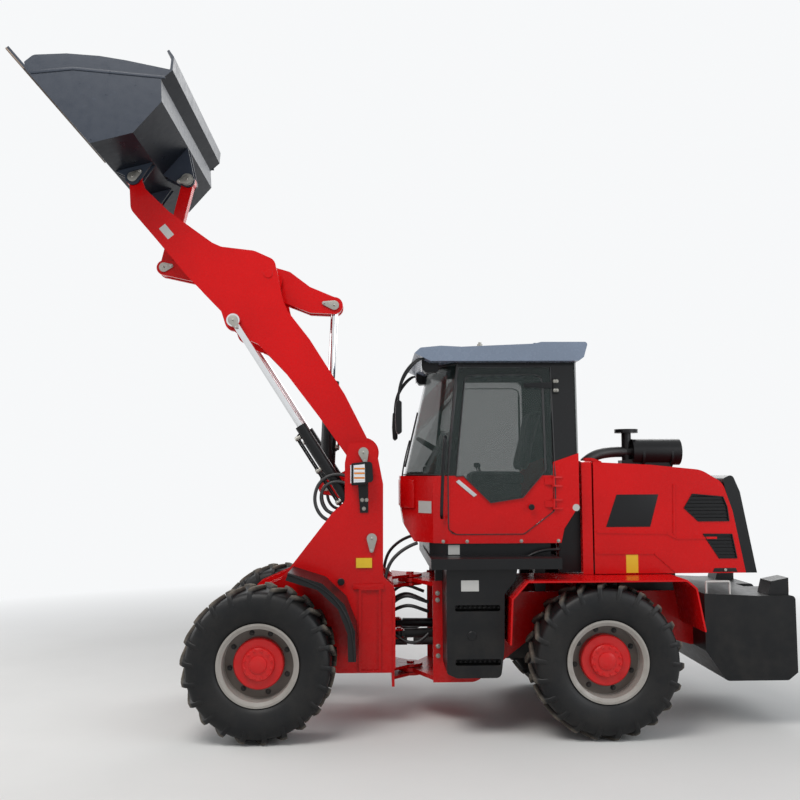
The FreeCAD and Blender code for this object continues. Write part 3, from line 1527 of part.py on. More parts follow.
CAB_FLOOR_TOP = S.cab_floor_z + 40


def seat():
    base = new_body("SeatBase")
    slab(base, "side", -200, 200, box(-1950, -1600, CAB_FLOOR_TOP, 1760))
    node("seat_base", base)
    cushion = new_body("SeatCushion")
    slab(cushion, "side", -240, 240, [(-2000, 1760), (-1530, 1760), (-1530, 1860, 40), (-2000, 1850)])
    slab(cushion, "side", -230, 230, [(-2000, 1830), (-1930, 1860), (-2050, 2380, 40), (-2130, 2360, 30)])
    node("seat_cushion", cushion)


def console():
    post = new_body("Console")
    floor = CAB_FLOOR_TOP
    slab(post, "side", -110, 110, [(-1290, floor), (-1160, floor), (-1200, 1900), (-1290, 1930)])
    column = new_body("SteeringWheel")
    radius = S.wheel_radius
    ring = [
        # along the column, radius
        (-12, radius - 14),
        (0, radius - 22),
        (12, radius - 14),
        (12, radius),
        (0, radius + 8),
        (-12, radius),
    ]
    turned(column, "z", (0, 0, 0), ring)
    rod(column, "z", (0, 0, 0), -150, 10, 28)
    for y in (-12, 12):
        slab(column, "top", -6, 6, box(12 - radius, radius - 12, y - 12, y + 12))
    lean = FreeCAD.Rotation(FreeCAD.Vector(0, 1, 0), -32)
    column.Placement = FreeCAD.Placement(FreeCAD.Vector(-1310, 0, 2030), lean)
    node("console", joined([post, column]))


def mirrors():
    mirror = new_body("Mirror")
    slab(mirror, "side", 650, 700, box(-1010, -960, 2130, 2390))
    arm = [(-1182, 2693), (-1142, 2713), (-975, 2480), (-975, 2380), (-995, 2380), (-1005, 2460)]
    slab(mirror, "side", 630, 660, arm)
    node("mirrors", both_sides(mirror))


PIECES = [
    front_frame,
    front_mudguards,
    front_axle,
    headlamps,
    boom_arms,
    boom_tube,
    bellcrank,
    tilt_link,
    bucket,
    bucket_pins,
    lift_cylinders,
    tilt_cylinder,
    steering_cylinders,
    rear_frame,
    rear_axle,
    gearbox,
    engine,
    platform,
    cab_skirt,
    rear_fenders,
    counterweight,
    tow_bracket,
    tail_lamps,
    bulkhead,
    hood,
    hood_vents,
    rear_grille,
    air_cleaner,
    cab_tub,
    cab_pillars,
    cab_roof,
    cab_lamps,
    windscreen,
    side_glass,
    door,
    seat,
    console,
    mirrors,
]

# name, axle's x, side
WHEELS = [
    ("front_left", FRONT_AXLE, 1),
    ("front_right", FRONT_AXLE, -1),
    ("rear_left", REAR_AXLE, 1),
    ("rear_right", REAR_AXLE, -1),
]


def main():
    for make in PIECES:
        make()
        doc.recompute()
    form = tyre_form()
    for name, x, side in WHEELS:
        tyre(name, form, x, side)
        wheel(name, x, side)
    step_box("step_box", 1)
    step_box("tank_box", -1)
    crank_half = S.crank_inner + S.crank_plate + S.side_gap + S.bracket_plate
    pin_node("bellcrank_pin", CRANK, S.crank_pin, crank_half + 8)
    flanged_pin("link_pin", BUCKET_LINK, S.bucket_link_pin, S.crank_inner + S.bracket_plate + 18)
    pin_node("tilt_base_pin", TILT_BASE, S.tilt_pin, S.crank_inner + S.bracket_plate + 13)
    doc.recompute()
    for thing in doc.Objects:
        if any(word in thing.State for word in ("Invalid", "Error")):
            raise RuntimeError(f"{thing.Name} ({thing.Label}) failed: {thing.State}")
    os.makedirs("parts", exist_ok=True)
    for thing in NODES:
        shape = thing.Shape
        if shape.isNull() or not shape.isValid() or not shape.Solids:
            raise RuntimeError(f"{thing.Label} has no valid shape")
        shape.exportStep(f"parts/{thing.Label}.step")
        print(f"{thing.Label}: {len(shape.Solids)} solids, {shape.Volume / 1e9:.4f} m3")


main()
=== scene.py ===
"""Finishes and fine trim of a compact articulated wheel loader, set up as an add-on and run as a script."""
import math

import bmesh
import bpy
from mathutils import Matrix, Vector


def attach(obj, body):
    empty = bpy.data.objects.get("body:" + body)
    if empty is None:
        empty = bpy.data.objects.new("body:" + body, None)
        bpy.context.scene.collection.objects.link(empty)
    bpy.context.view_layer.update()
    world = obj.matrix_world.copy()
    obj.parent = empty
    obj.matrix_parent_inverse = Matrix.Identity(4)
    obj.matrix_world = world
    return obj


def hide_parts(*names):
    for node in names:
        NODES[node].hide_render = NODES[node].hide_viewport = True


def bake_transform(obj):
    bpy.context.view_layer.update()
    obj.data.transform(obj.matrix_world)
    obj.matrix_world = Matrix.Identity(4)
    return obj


bl_info = {
    "name": "Wheel Loader Dressing",
    "version": (1, 0, 0),
    "blender": (4, 5, 0),
    "location": "View3D > Sidebar > Loader",
    "description": "Paint, rubber, glass and fine trim for an articulated wheel loader",
    "category": "Object",
}

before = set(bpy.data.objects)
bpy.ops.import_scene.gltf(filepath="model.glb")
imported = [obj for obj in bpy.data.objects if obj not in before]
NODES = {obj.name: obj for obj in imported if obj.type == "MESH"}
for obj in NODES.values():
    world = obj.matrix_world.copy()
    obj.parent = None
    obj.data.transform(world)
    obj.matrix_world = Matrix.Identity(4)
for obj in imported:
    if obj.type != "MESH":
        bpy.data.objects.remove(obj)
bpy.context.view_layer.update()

# Millimetres are measured from the front axle and the ground.
FRONT_AXLE_X = 1.039
WHEELBASE = 2.425
AXLE_Z = 0.5375
SIDES = (1, -1)
FORWARD, LEFT, UP = (1, 0, 0), (0, 1, 0), (0, 0, 1)


def at(x, y, z):
    """A place on the loader from its millimetres."""
    return Vector((x / 1000 + FRONT_AXLE_X, y / 1000, z / 1000))


# Sizes and colours


def colour(name, description, value):
    return bpy.props.FloatVectorProperty(
        name=name, description=description, subtype="COLOR", size=3, min=0, max=1, default=value
    )


def length(name, description, value):
    return bpy.props.FloatProperty(
        name=name, description=description, subtype="DISTANCE", unit="LENGTH", default=value
    )


class LoaderColours(bpy.types.PropertyGroup):
    body_red: colour("Body Red", "Gloss paint of the frames, boom, hood and cab", (0.58, 0.003, 0.004))
    trim_black: colour("Trim Black", "Satin paint of steps, pillars and counterweight", (0.008, 0.0085, 0.0095))
    # Dark grey paint of the bucket; its blue tint is a painted reflection of the sky on the bucket's sides.
    bucket_grey_and_sky_reflection: colour("Bucket Grey", "Dark paint of the bucket", (0.028, 0.036, 0.052))
    roof_grey: colour("Roof Grey", "Paint of the cab's roof", (0.17, 0.21, 0.28))
    rim_grey: colour("Rim Grey", "Paint of the rims", (0.33, 0.31, 0.285))
    dish_grey: colour("Dish Grey", "Dusty dish of the wheels", (0.13, 0.11, 0.095))
    rubber: colour("Rubber", "Tyres", (0.007, 0.0075, 0.0085))
    dust: colour("Dust", "Dry soil on the tyres and the low pieces", (0.19, 0.165, 0.135))
    glass_tint: colour("Glass Tint", "The cab's glass", (0.03, 0.045, 0.042))
    label_yellow: colour("Label Yellow", "Blank labels", (0.75, 0.5, 0.02))
    cloth: colour("Cloth", "Seat cover", (0.04, 0.041, 0.046))


class LoaderSizes(bpy.types.PropertyGroup):
    body_bolt: length("Body Bolt", "Across the corners of a body bolt's head", 0.022)
    cab_bolt: length("Cab Bolt", "Across the corners of a bolt's head on the cab", 0.0198)
    waist_bolt: length("Waist Bolt", "Across the corners of a bolt's head at the frames' joint", 0.0264)
    nave_bolt: length("Nave Bolt", "Across the corners of a bolt's head on a wheel's hub", 0.0176)
    wheel_nut: length("Wheel Nut", "Across the corners of a wheel nut", 0.0288)
    step_stud: length("Step Stud", "Across the corners of a stud on the steps", 0.013)
    nut_circle: length("Nut Circle", "Radius of the circle of wheel nuts", 0.21)
    hose: length("Hose", "Radius of the hydraulic hoses", 0.013)
    pipe: length("Pipe", "Radius of the steel pipes along the cylinders", 0.0075)
    seal: length("Seal", "Width of the rubber round the cab's glass", 0.016)
    slat: length("Slat", "Height of a slat in the hood's vents", 0.014)
    slat_pitch: length("Slat Pitch", "From one slat in the hood's vents to the next", 0.026)


# Material building


class Finish:
    """A node tree for one finish, built with short calls."""

    def __init__(self, name):
        self.material = bpy.data.materials.new(name)
        self.material.use_nodes = True
        self.tree = self.material.node_tree
        self.shader = self.tree.nodes["Principled BSDF"]
        self.out = self.tree.nodes["Material Output"]
        self.where = self.add("ShaderNodeTexCoord").outputs["Object"]

    def add(self, kind, **values):
        made = self.tree.nodes.new(kind)
        for key, value in values.items():
            if hasattr(made, key):
                setattr(made, key, value)
            else:
                made.inputs[key.replace("_", " ").title()].default_value = value
        return made

    def link(self, source, target):
        self.tree.links.new(source, target)

    def mapped(self, scale=(1, 1, 1), shift=(0, 0, 0)):
        step = self.add("ShaderNodeMapping")
        step.inputs["Scale"].default_value = scale
        step.inputs["Location"].default_value = shift
        self.link(self.where, step.inputs["Vector"])
        return step.outputs["Vector"]

    def noise(self, scale, detail=4.0, roughness=0.6, stretch=(1, 1, 1)):
        made = self.add("ShaderNodeTexNoise", Scale=scale, Detail=detail, Roughness=roughness)
        self.link(self.mapped(stretch), made.inputs["Vector"])
        return made.outputs["Fac"]

    def spots(self, scale):
        made = self.add("ShaderNodeTexVoronoi", Scale=scale)
        self.link(self.where, made.inputs["Vector"])
        return made.outputs["Distance"]

    def ramp(self, source, low, high, start=0.0, end=1.0):
        made = self.add("ShaderNodeMapRange")
        for key, value in zip(("From Min", "From Max", "To Min", "To Max"), (low, high, start, end)):
            made.inputs[key].default_value = value
        self.link(source, made.inputs["Value"])
        return made.outputs["Result"]

    def maths(self, kind, first, second):
        made = self.add("ShaderNodeMath", operation=kind)
        for socket, value in zip(made.inputs, (first, second)):
            if isinstance(value, (int, float)):
                socket.default_value = value
            else:
                self.link(value, socket)
        return made.outputs[0]

    def mix(self, amount, first, second):
        made = self.add("ShaderNodeMix", data_type="RGBA")
        sockets = (made.inputs[0], made.inputs[6], made.inputs[7])
        for socket, value in zip(sockets, (amount, first, second)):
            if isinstance(value, (int, float)):
                socket.default_value = value
            elif isinstance(value, bpy.types.NodeSocket):
                self.link(value, socket)
            else:
                socket.default_value = (*value[:3], 1)
        return made.outputs[2]

    def parts(self, vector):
        split = self.add("ShaderNodeSeparateXYZ")
        self.link(vector, split.inputs[0])
        return split.outputs

    def height(self):
        return self.parts(self.where)["Z"]

    def facing_up(self):
        return self.parts(self.add("ShaderNodeNewGeometry").outputs["Normal"])["Z"]

    def distance(self, place, axes):
        """How far a place is from the origin by two of its axes."""
        parts = self.parts(place)
        squares = [self.maths("MULTIPLY", parts[axis], parts[axis]) for axis in axes]
        return self.maths("SQRT", self.maths("ADD", *squares), 0)

    def radius_from(self, x, z):
        """Distance from a line along Y through x and z."""
        return self.distance(self.mapped(shift=(-x, 0, -z)), "XZ")

    def colour(self, source):
        self.link(source, self.shader.inputs["Base Color"])

    def roughness(self, source):
        self.link(source, self.shader.inputs["Roughness"])

    def bump(self, source, strength, distance):
        made = self.add("ShaderNodeBump", Strength=strength, Distance=distance)
        self.link(source, made.inputs["Height"])
        self.link(made.outputs[0], self.shader.inputs["Normal"])

    def sockets(self, **values):
        for key, value in values.items():
            self.shader.inputs[key.replace("_", " ")].default_value = value


def darker(base, share):
    return [c * share for c in base]


def painted(name, base, gloss, dust, dust_top, dust_amount, specular=0.4, coat=0.0):
    """Sprayed paint with orange peel, faint patches, and dust on its low and level faces."""
    look = Finish(name)
    shade = look.mix(look.ramp(look.noise(2.2, 3), 0.35, 0.65), base, darker(base, 0.9))
    low = look.ramp(look.height(), dust_top, 0.15)
    level = look.ramp(look.facing_up(), 0.3, 0.95, 0.35, 1.0)
    patchy = look.ramp(look.noise(7, 6), 0.4, 0.7)
    reached = look.maths("MULTIPLY", low, level)
    settled = look.maths("MULTIPLY", reached, look.maths("MULTIPLY", patchy, dust_amount))
    look.colour(look.mix(settled, shade, dust))
    wear = look.ramp(look.noise(26, 5), 0.3, 0.7, gloss, gloss + 0.09)
    look.roughness(look.maths("ADD", wear, look.maths("MULTIPLY", settled, 0.5)))
    look.bump(look.noise(620, 2), 0.05, 0.001)
    look.sockets(Specular_IOR_Level=specular, Coat_Weight=coat, Coat_Roughness=0.1)
    return look.material


def bucket_paint(name, base, dust):
    """Dark satin paint with long scuffs, dust in the bowl, and painted shade that darkens the faces looking down.
    """
    look = Finish(name)
    scuffs = look.ramp(look.noise(9, 8, 0.7, (1, 0.12, 3)), 0.58, 0.75, 0, 0.25)
    shade = look.mix(scuffs, base, [c * 2.4 + 0.01 for c in base])
    # Painted shade: faces that look down are darkened to a quarter of the paint's colour.
    shade = look.mix(look.ramp(look.facing_up(), -0.05, -0.4), shade, darker(base, 0.25))
    level = look.ramp(look.facing_up(), 0.2, 0.9)
    dusty = look.maths("MULTIPLY", look.maths("MULTIPLY", level, look.ramp(look.noise(5, 6), 0.4, 0.65)), 0.35)
    look.colour(look.mix(dusty, shade, dust))
    look.roughness(look.ramp(look.noise(14, 5), 0.3, 0.7, 0.26, 0.4))
    look.bump(look.noise(400, 3), 0.05, 0.001)
    look.link(look.ramp(look.facing_up(), -0.4, -0.05, 0.06, 0.35), look.shader.inputs["Specular IOR Level"])
    return look.material


def bare_metal(name, base, roughness, streak=(1, 1, 1)):
    look = Finish(name)
    grain = look.noise(220, 3, 0.7, streak)
    look.colour(look.mix(look.ramp(grain, 0.3, 0.7), base, darker(base, 0.82)))
    look.roughness(look.ramp(look.noise(30, 4, 0.6, streak), 0.3, 0.7, roughness, roughness + 0.15))
    look.bump(grain, roughness * 0.1, 0.0005)
    look.sockets(Metallic=1.0)
    return look.material


def moulded(name, base, roughness=0.5, grain=700):
    """Moulded plastic or rubber with a fine leather-like grain."""
    look = Finish(name)
    look.colour(look.mix(look.ramp(look.noise(6), 0.35, 0.7), base, [min(1, c * 1.35 + 0.004) for c in base]))
    look.roughness(look.ramp(look.noise(60), 0.3, 0.7, roughness - 0.06, roughness + 0.1))
    look.bump(look.spots(grain), 0.12, 0.0008)
    return look.material


def tyre_rubber(name, rubber, dust, axle_x):
    """Black rubber whose lugs' tops hold dry soil."""
    look = Finish(name)
    radius = look.radius_from(axle_x, AXLE_Z)
    tops = look.ramp(radius, 0.508, 0.532)
    worn = look.maths("MULTIPLY", tops, look.ramp(look.noise(10, 6), 0.3, 0.6, 0.3, 0.85))
    film = look.ramp(look.noise(4, 6, 0.7), 0.4, 0.8, 0, 0.07)
    soil = look.maths("MAXIMUM", worn, film)
    look.colour(look.mix(soil, rubber, dust))
    look.roughness(look.ramp(soil, 0, 0.6, 0.42, 0.85))
    look.bump(look.noise(150, 5), 0.2, 0.0015)
    look.sockets(Specular_IOR_Level=0.25)
    return look.material


def wheel_paint(name, rim, dish, hub, dust, axle_x):
    """Light rim, dusty dish and red hub, by their distance from the axle's line."""
    look = Finish(name)
    radius = look.radius_from(axle_x, AXLE_Z)
    outer = look.mix(look.ramp(radius, 0.243, 0.247), dish, rim)
    paint = look.mix(look.ramp(radius, 0.1765, 0.1775), hub, outer)
    grime = look.ramp(look.noise(11, 6, 0.65), 0.42, 0.75, 0, 0.4)
    grime = look.maths("MULTIPLY", grime, look.ramp(radius, 0.17, 0.2, 0.25, 1.0))
    look.colour(look.mix(grime, paint, dust))
    look.roughness(look.ramp(grime, 0, 0.4, 0.34, 0.7))
    look.bump(look.noise(500, 3), 0.08, 0.001)
    look.sockets(Specular_IOR_Level=0.4)
    return look.material


def clear_glass(name, tint, alpha):
    look = Finish(name)
    look.sockets(Base_Color=(*tint, 1), Roughness=0.02, IOR=1.45, Alpha=alpha, Specular_IOR_Level=0.5)
    look.bump(look.noise(3, 1), 0.01, 0.001)
    return look.material


def lamp_glass(name, tint):
    """Ribbed lens over a bright bowl."""
    look = Finish(name)
    ribs = look.add("ShaderNodeTexWave", Scale=28.0, bands_direction="Z")
    look.link(look.where, ribs.inputs["Vector"])
    look.colour(look.mix(look.ramp(ribs.outputs["Fac"], 0.2, 0.8), tint, darker(tint, 0.72)))
    look.bump(ribs.outputs["Fac"], 0.3, 0.002)
    look.sockets(Roughness=0.12, Coat_Weight=0.6, Metallic=0.2)
    return look.material


def woven(name, base):
    """Seat cloth with a fine check weave."""
    look = Finish(name)
    across = look.add("ShaderNodeTexWave", Scale=180.0, bands_direction="X")
    along = look.add("ShaderNodeTexWave", Scale=180.0, bands_direction="Y")
    for wave in (across, along):
        look.link(look.where, wave.inputs["Vector"])
    weave = look.maths("MULTIPLY", across.outputs["Fac"], along.outputs["Fac"])
    look.colour(look.mix(look.ramp(weave, 0.1, 0.8), darker(base, 0.6), [c * 1.7 for c in base]))
    look.bump(weave, 0.5, 0.0008)
    look.sockets(Roughness=0.9, Sheen_Weight=0.3, Sheen_Roughness=0.5)
    return look.material


FINISHES = {}


def finish(name):
    return FINISHES[name]


def make_finishes(tint):
    red, black, dust = tuple(tint.body_red), tuple(tint.trim_black), tuple(tint.dust)
    FINISHES.update(
        red=painted("body_red", red, 0.22, dust, 0.9, 0.3, specular=0.16, coat=0.1),
        black=painted("trim_black", black, 0.3, dust, 1.3, 0.22, specular=0.22),
        gloss_black=painted("pillar_black", black, 0.12, dust, 0.5, 0.1, specular=0.3),
        # The bucket's base colour holds a painted sky reflection in its blue tint, and its downward faces get
        # painted shade.
        bucket=bucket_paint("bucket_grey_and_sky_reflection", tuple(tint.bucket_grey_and_sky_reflection), (0.12, 0.115, 0.105)),
        roof=painted("roof_grey", tuple(tint.roof_grey), 0.22, dust, 3.4, 0.1),
        casting=painted("axle_black", (0.02, 0.02, 0.021), 0.48, dust, 1.1, 0.7),
        edge_steel=bare_metal("edge_steel", (0.16, 0.13, 0.11), 0.45, (1, 6, 1)),
        chrome=bare_metal("rod_chrome", (0.78, 0.79, 0.8), 0.06),
        zinc=bare_metal("pin_zinc", (0.36, 0.35, 0.32), 0.34),
        steel=bare_metal("worn_steel", (0.42, 0.41, 0.39), 0.34, (1, 6, 1)),
        trim=moulded("cab_trim", (0.03, 0.031, 0.033), 0.55),
        hose=moulded("hose_rubber", (0.012, 0.012, 0.013), 0.42, 1200),
        seal=moulded("seal_rubber", (0.01, 0.01, 0.011), 0.6, 900),
        shell=moulded("lamp_shell", (0.42, 0.43, 0.44), 0.25, 400),
        label=painted("label_yellow", tuple(tint.label_yellow), 0.3, dust, 0.5, 0.1),
        blank=painted("label_white", (0.5, 0.5, 0.48), 0.3, dust, 0.5, 0.1),
        glass=clear_glass("cab_glass", tuple(tint.glass_tint), 0.42),
        mirror=bare_metal("mirror_silver", (0.85, 0.87, 0.88), 0.02),
        lamp=lamp_glass("lamp_clear", (0.8, 0.82, 0.85)),
        tail=lamp_glass("lamp_red", (0.5, 0.012, 0.01)),
        amber=lamp_glass("lamp_amber", (0.75, 0.24, 0.02)),
        cloth=woven("seat_cloth", tuple(tint.cloth)),
    )
    for end, x in (("front", FRONT_AXLE_X), ("rear", FRONT_AXLE_X - WHEELBASE)):
        FINISHES[f"tyre_{end}"] = tyre_rubber(f"tyre_{end}", tuple(tint.rubber), dust, x)
        FINISHES[f"wheel_{end}"] = wheel_paint(
            f"wheel_{end}", tuple(tint.rim_grey), tuple(tint.dish_grey), red, dust, x
        )


# finish, CAD pieces
PAINTED = {
    "red": [
        "front_frame", "boom_arms", "boom_cross_tube", "bellcrank", "tilt_link", "rear_frame", "rear_fenders",
        "hood", "cab_tub", "door_panel", "bulkhead",
    ],
    "black": [
        "platform", "cab_skirt", "step_box", "tank_box", "counterweight", "tow_bracket", "rear_grille",
        "air_cleaner", "mirrors", "front_mudguards", "lift_barrels", "tilt_barrel", "steer_barrel_left",
        "steer_barrel_right", "hood_vents", "headlamps", "tail_lamps", "cab_lamps",
    ],
    "gloss_black": ["cab_pillars", "door_frame"],
    "bucket": ["bucket"],
    "roof": ["cab_roof"],
    "chrome": ["lift_rods", "tilt_rod", "steer_rod_left", "steer_rod_right"],
    "zinc": ["bucket_pins", "bellcrank_pin", "link_pin", "tilt_base_pin", "tilt_piston"],
    "casting": ["front_axle", "rear_axle", "gearbox", "engine"],
    "glass": ["windscreen", "cab_glass", "door_glass"],
    "trim": ["seat_base", "console"],
    "cloth": ["seat_cushion"],
    "tyre_front": ["tyre_front_left", "tyre_front_right"],
    "tyre_rear": ["tyre_rear_left", "tyre_rear_right"],
    "wheel_front": ["wheel_front_left", "wheel_front_right"],
    "wheel_rear": ["wheel_rear_left", "wheel_rear_right"],
}


def coat(thing, material):
    thing.data.materials.clear()
    thing.data.materials.append(material)


class LOADER_OT_finishes(bpy.types.Operator):
    """Give every CAD piece its paint, metal, rubber or glass"""

    bl_idname = "loader.finishes"
    bl_label = "Finishes"

    def execute(self, context):
        make_finishes(context.scene.loader_colours)
        left = set(NODES)
        for name, pieces in PAINTED.items():
            for piece in pieces:
                coat(NODES[piece], finish(name))
                left.discard(piece)
        if left:
            raise RuntimeError(f"no finish for {sorted(left)}")
        return {"FINISHED"}


# Building meshes

# x, y and z from an outline's two numbers and its depth along an axis
LAID = {
    "y": lambda u, v, depth: (u, depth, v),
    "z": lambda u, v, depth: (u, v, depth),
}


def box(left, right, foot, top):
    """The outline of a rectangle."""
    return [(left, foot), (right, foot), (right, top), (left, top)]


SHARP = math.radians(25)


class Form:
    """A mesh drawn in millimetres from the front axle and the ground."""

    def __init__(self):
        self.bm = bmesh.new()

    def prism(self, axis, low, high, outline):
        """Fill an outline between two planes across an axis."""
        count = len(outline)
        points = [LAID[axis](u, v, depth) for depth in (low, high) for u, v in outline]
        corners = [self.bm.verts.new(at(*point)) for point in points]
        walls = [(i, (i + 1) % count, count + (i + 1) % count, count + i) for i in range(count)]
        for face in (range(count), range(count, 2 * count), *walls):
            self.bm.faces.new([corners[i] for i in face])

    def plate(self, near, far, outline):
        """Fill an outline of x and z between two distances from the middle, on each side."""
        for side in SIDES:
            self.prism("y", *sorted((side * near, side * far)), outline)

    def turned(self, centre, axis, rows, sides=32, closed=False):
        """Turn an outline about an axis; each row is a distance along and a radius."""
        axis = Vector(axis).normalized()
        across = axis.orthogonal().normalized()
        other = axis.cross(across)
        rings = []
        for along, radius in rows:
            middle = Vector(centre) + axis * along
            steps = [2 * math.pi * i / sides for i in range(sides if radius else 1)]
            places = [middle + (across * math.cos(step) + other * math.sin(step)) * radius for step in steps]
            rings.append([self.bm.verts.new(at(*place)) for place in places])
        after = rings[1:] + (rings[:1] if closed else [])
        for low, high in zip(rings, after):
            for i in range(sides):
                j = (i + 1) % sides
                corners = [low[i % len(low)], low[j % len(low)], high[j % len(high)], high[i % len(high)]]
                self.bm.faces.new(list(dict.fromkeys(corners)))

    def knob(self, x, y, z, rows, sides):
        """Turn an outline about an axis that points out, on each side."""
        for side in SIDES:
            self.turned((x, side * y, z), (0, side, 0), rows, sides)

    def take(self, mesh):
        """Add a mesh that is already in metres and in place."""
        self.bm.from_mesh(mesh)
        bpy.data.meshes.remove(mesh)

    def hose(self, points, radius, sides=6):
        """A hose or pipe on a smooth line drawn towards points, closed at its ends."""
        curve = bpy.data.curves.new("line", "CURVE")
        curve.dimensions = "3D"
        curve.bevel_depth = radius
        curve.bevel_resolution = sides // 2
        curve.use_fill_caps = True
        curve.resolution_u = 10
        line = curve.splines.new("NURBS")
        line.points.add(len(points) - 1)
        for knot, point in zip(line.points, points):
            knot.co = (*at(*point), 1)
        line.order_u = min(4, len(points))
        line.use_endpoint_u = True
        self.take(plain_mesh(curve))

    def hoses(self, points, radius, sides):
        """A hose and its mirror image."""
        for side in SIDES:
            self.hose([(x, side * y, z) for x, y, z in points], radius, sides)

    def chamfer(self, width, steps=2):
        """Round the sharp edges, by millimetres."""
        bmesh.ops.recalc_face_normals(self.bm, faces=self.bm.faces)
        sharp = [e for e in self.bm.edges if len(e.link_faces) == 2 and e.calc_face_angle() > SHARP]
        bmesh.ops.bevel(
            self.bm, geom=sharp, offset=width / 1000, segments=steps, profile=0.7, affect="EDGES",
            clamp_overlap=True,
        )

    def mesh(self, name):
        bmesh.ops.recalc_face_normals(self.bm, faces=self.bm.faces)
        mesh = bpy.data.meshes.new(name)
        self.bm.to_mesh(mesh)
        self.bm.free()
        return mesh


def evaluated_mesh(thing):
    """The object's shape with its modifiers, as a plain mesh."""
    graph = bpy.context.evaluated_depsgraph_get()
    return bpy.data.meshes.new_from_object(thing.evaluated_get(graph), depsgraph=graph)


def plain_mesh(data):
    """A curve's shape as a mesh; the curve goes."""
    thing = bpy.data.objects.new("line", data)
    bpy.context.scene.collection.objects.link(thing)
    bpy.context.view_layer.update()
    mesh = evaluated_mesh(thing)
    bpy.data.objects.remove(thing)
    bpy.data.curves.remove(data)
    return mesh


def put(name, mesh, body, paint, smooth=35, replaces=()):
    """Show a mesh as a piece that rides on a body, or on none."""
    mesh.name = name
    mesh.polygons.foreach_set("use_smooth", [True] * len(mesh.polygons))
    mesh.set_sharp_from_angle(angle=math.radians(smooth))
    thing = bpy.data.objects.new(name, mesh)
    bpy.context.scene.collection.objects.link(thing)
    coat(thing, finish(paint))
    if body is not None:
        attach(thing, body)
    if replaces:
        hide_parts(*replaces)
    return thing


def show(name, form, body, paint, chamfer=0, smooth=35, replaces=()):
    if chamfer:
        form.chamfer(chamfer)
    return put(name, form.mesh(name), body, paint, smooth, replaces)


def plates(body, rows):
    """Flat pieces on each side of a body; rows with one name make one piece."""
    forms = {}
    for name, paint, chamfer, near, far, outline in rows:
        forms.setdefault((name, paint, chamfer), Form()).plate(near, far, outline)
    for (name, paint, chamfer), form in forms.items():
        show(name, form, body, paint, chamfer=chamfer)


# Repeats


class Tree:
    """A geometry node tree built with short calls."""

    def __init__(self, name, inputs):
        self.tree = bpy.data.node_groups.new(name, "GeometryNodeTree")
        face = self.tree.interface
        face.new_socket("Geometry", in_out="INPUT", socket_type="NodeSocketGeometry")
        self.names = {}
        for label, kind, value in inputs:
            socket = face.new_socket(label, in_out="INPUT", socket_type=kind)
            if value is not None:
                socket.default_value = value
            self.names[label] = socket.identifier
        face.new_socket("Geometry", in_out="OUTPUT", socket_type="NodeSocketGeometry")
        self.given = self.add("NodeGroupInput").outputs
        self.out = self.add("NodeGroupOutput")

    def add(self, kind, feed=None, **settings):
        """A node; feed pairs its sockets with values or with other nodes' outputs."""
        made = self.tree.nodes.new(kind)
        for key, value in settings.items():
            setattr(made, key, value)
        for key, value in (feed or {}).items():
            if isinstance(value, bpy.types.NodeSocket):
                self.tree.links.new(value, made.inputs[key])
            else:
                made.inputs[key].default_value = value
        return made

    def times(self, source, factor):
        return self.add("ShaderNodeMath", {0: source, 1: factor}, operation="MULTIPLY").outputs[0]

    def raised(self, shape, height):
        """The shape moved up."""
        lift = self.add("ShaderNodeCombineXYZ", {"Z": height})
        return self.add("GeometryNodeTransform", {"Geometry": shape, "Translation": lift.outputs[0]}).outputs[0]

    def finish(self, geometry, paint):
        """End in real geometry with its finish."""
        real = self.add("GeometryNodeRealizeInstances", {"Geometry": geometry})
        done = self.add("GeometryNodeSetMaterial", {"Geometry": real.outputs[0], "Material": paint})
        self.tree.links.new(done.outputs[0], self.out.inputs[0])

    def run(self, mesh, **values):
        """The tree's result on a mesh, as a plain mesh."""
        thing = bpy.data.objects.new("pattern", mesh)
        bpy.context.scene.collection.objects.link(thing)
        step = thing.modifiers.new("pattern", "NODES")
        step.node_group = self.tree
        for label, value in values.items():
            step[self.names[label.replace("_", " ")]] = value
        bpy.context.view_layer.update()
        made = evaluated_mesh(thing)
        thing.modifiers.remove(step)
        bpy.data.objects.remove(thing)
        bpy.data.meshes.remove(mesh)
        return made


# sides, radius, height and start of a washer, a head and a thread's end, as shares of the head's size
BOLT_STACK = [(20, 0.66, 0.1, 0.0), (6, 0.5, 0.36, 0.1), (12, 0.24, 0.16, 0.54)]


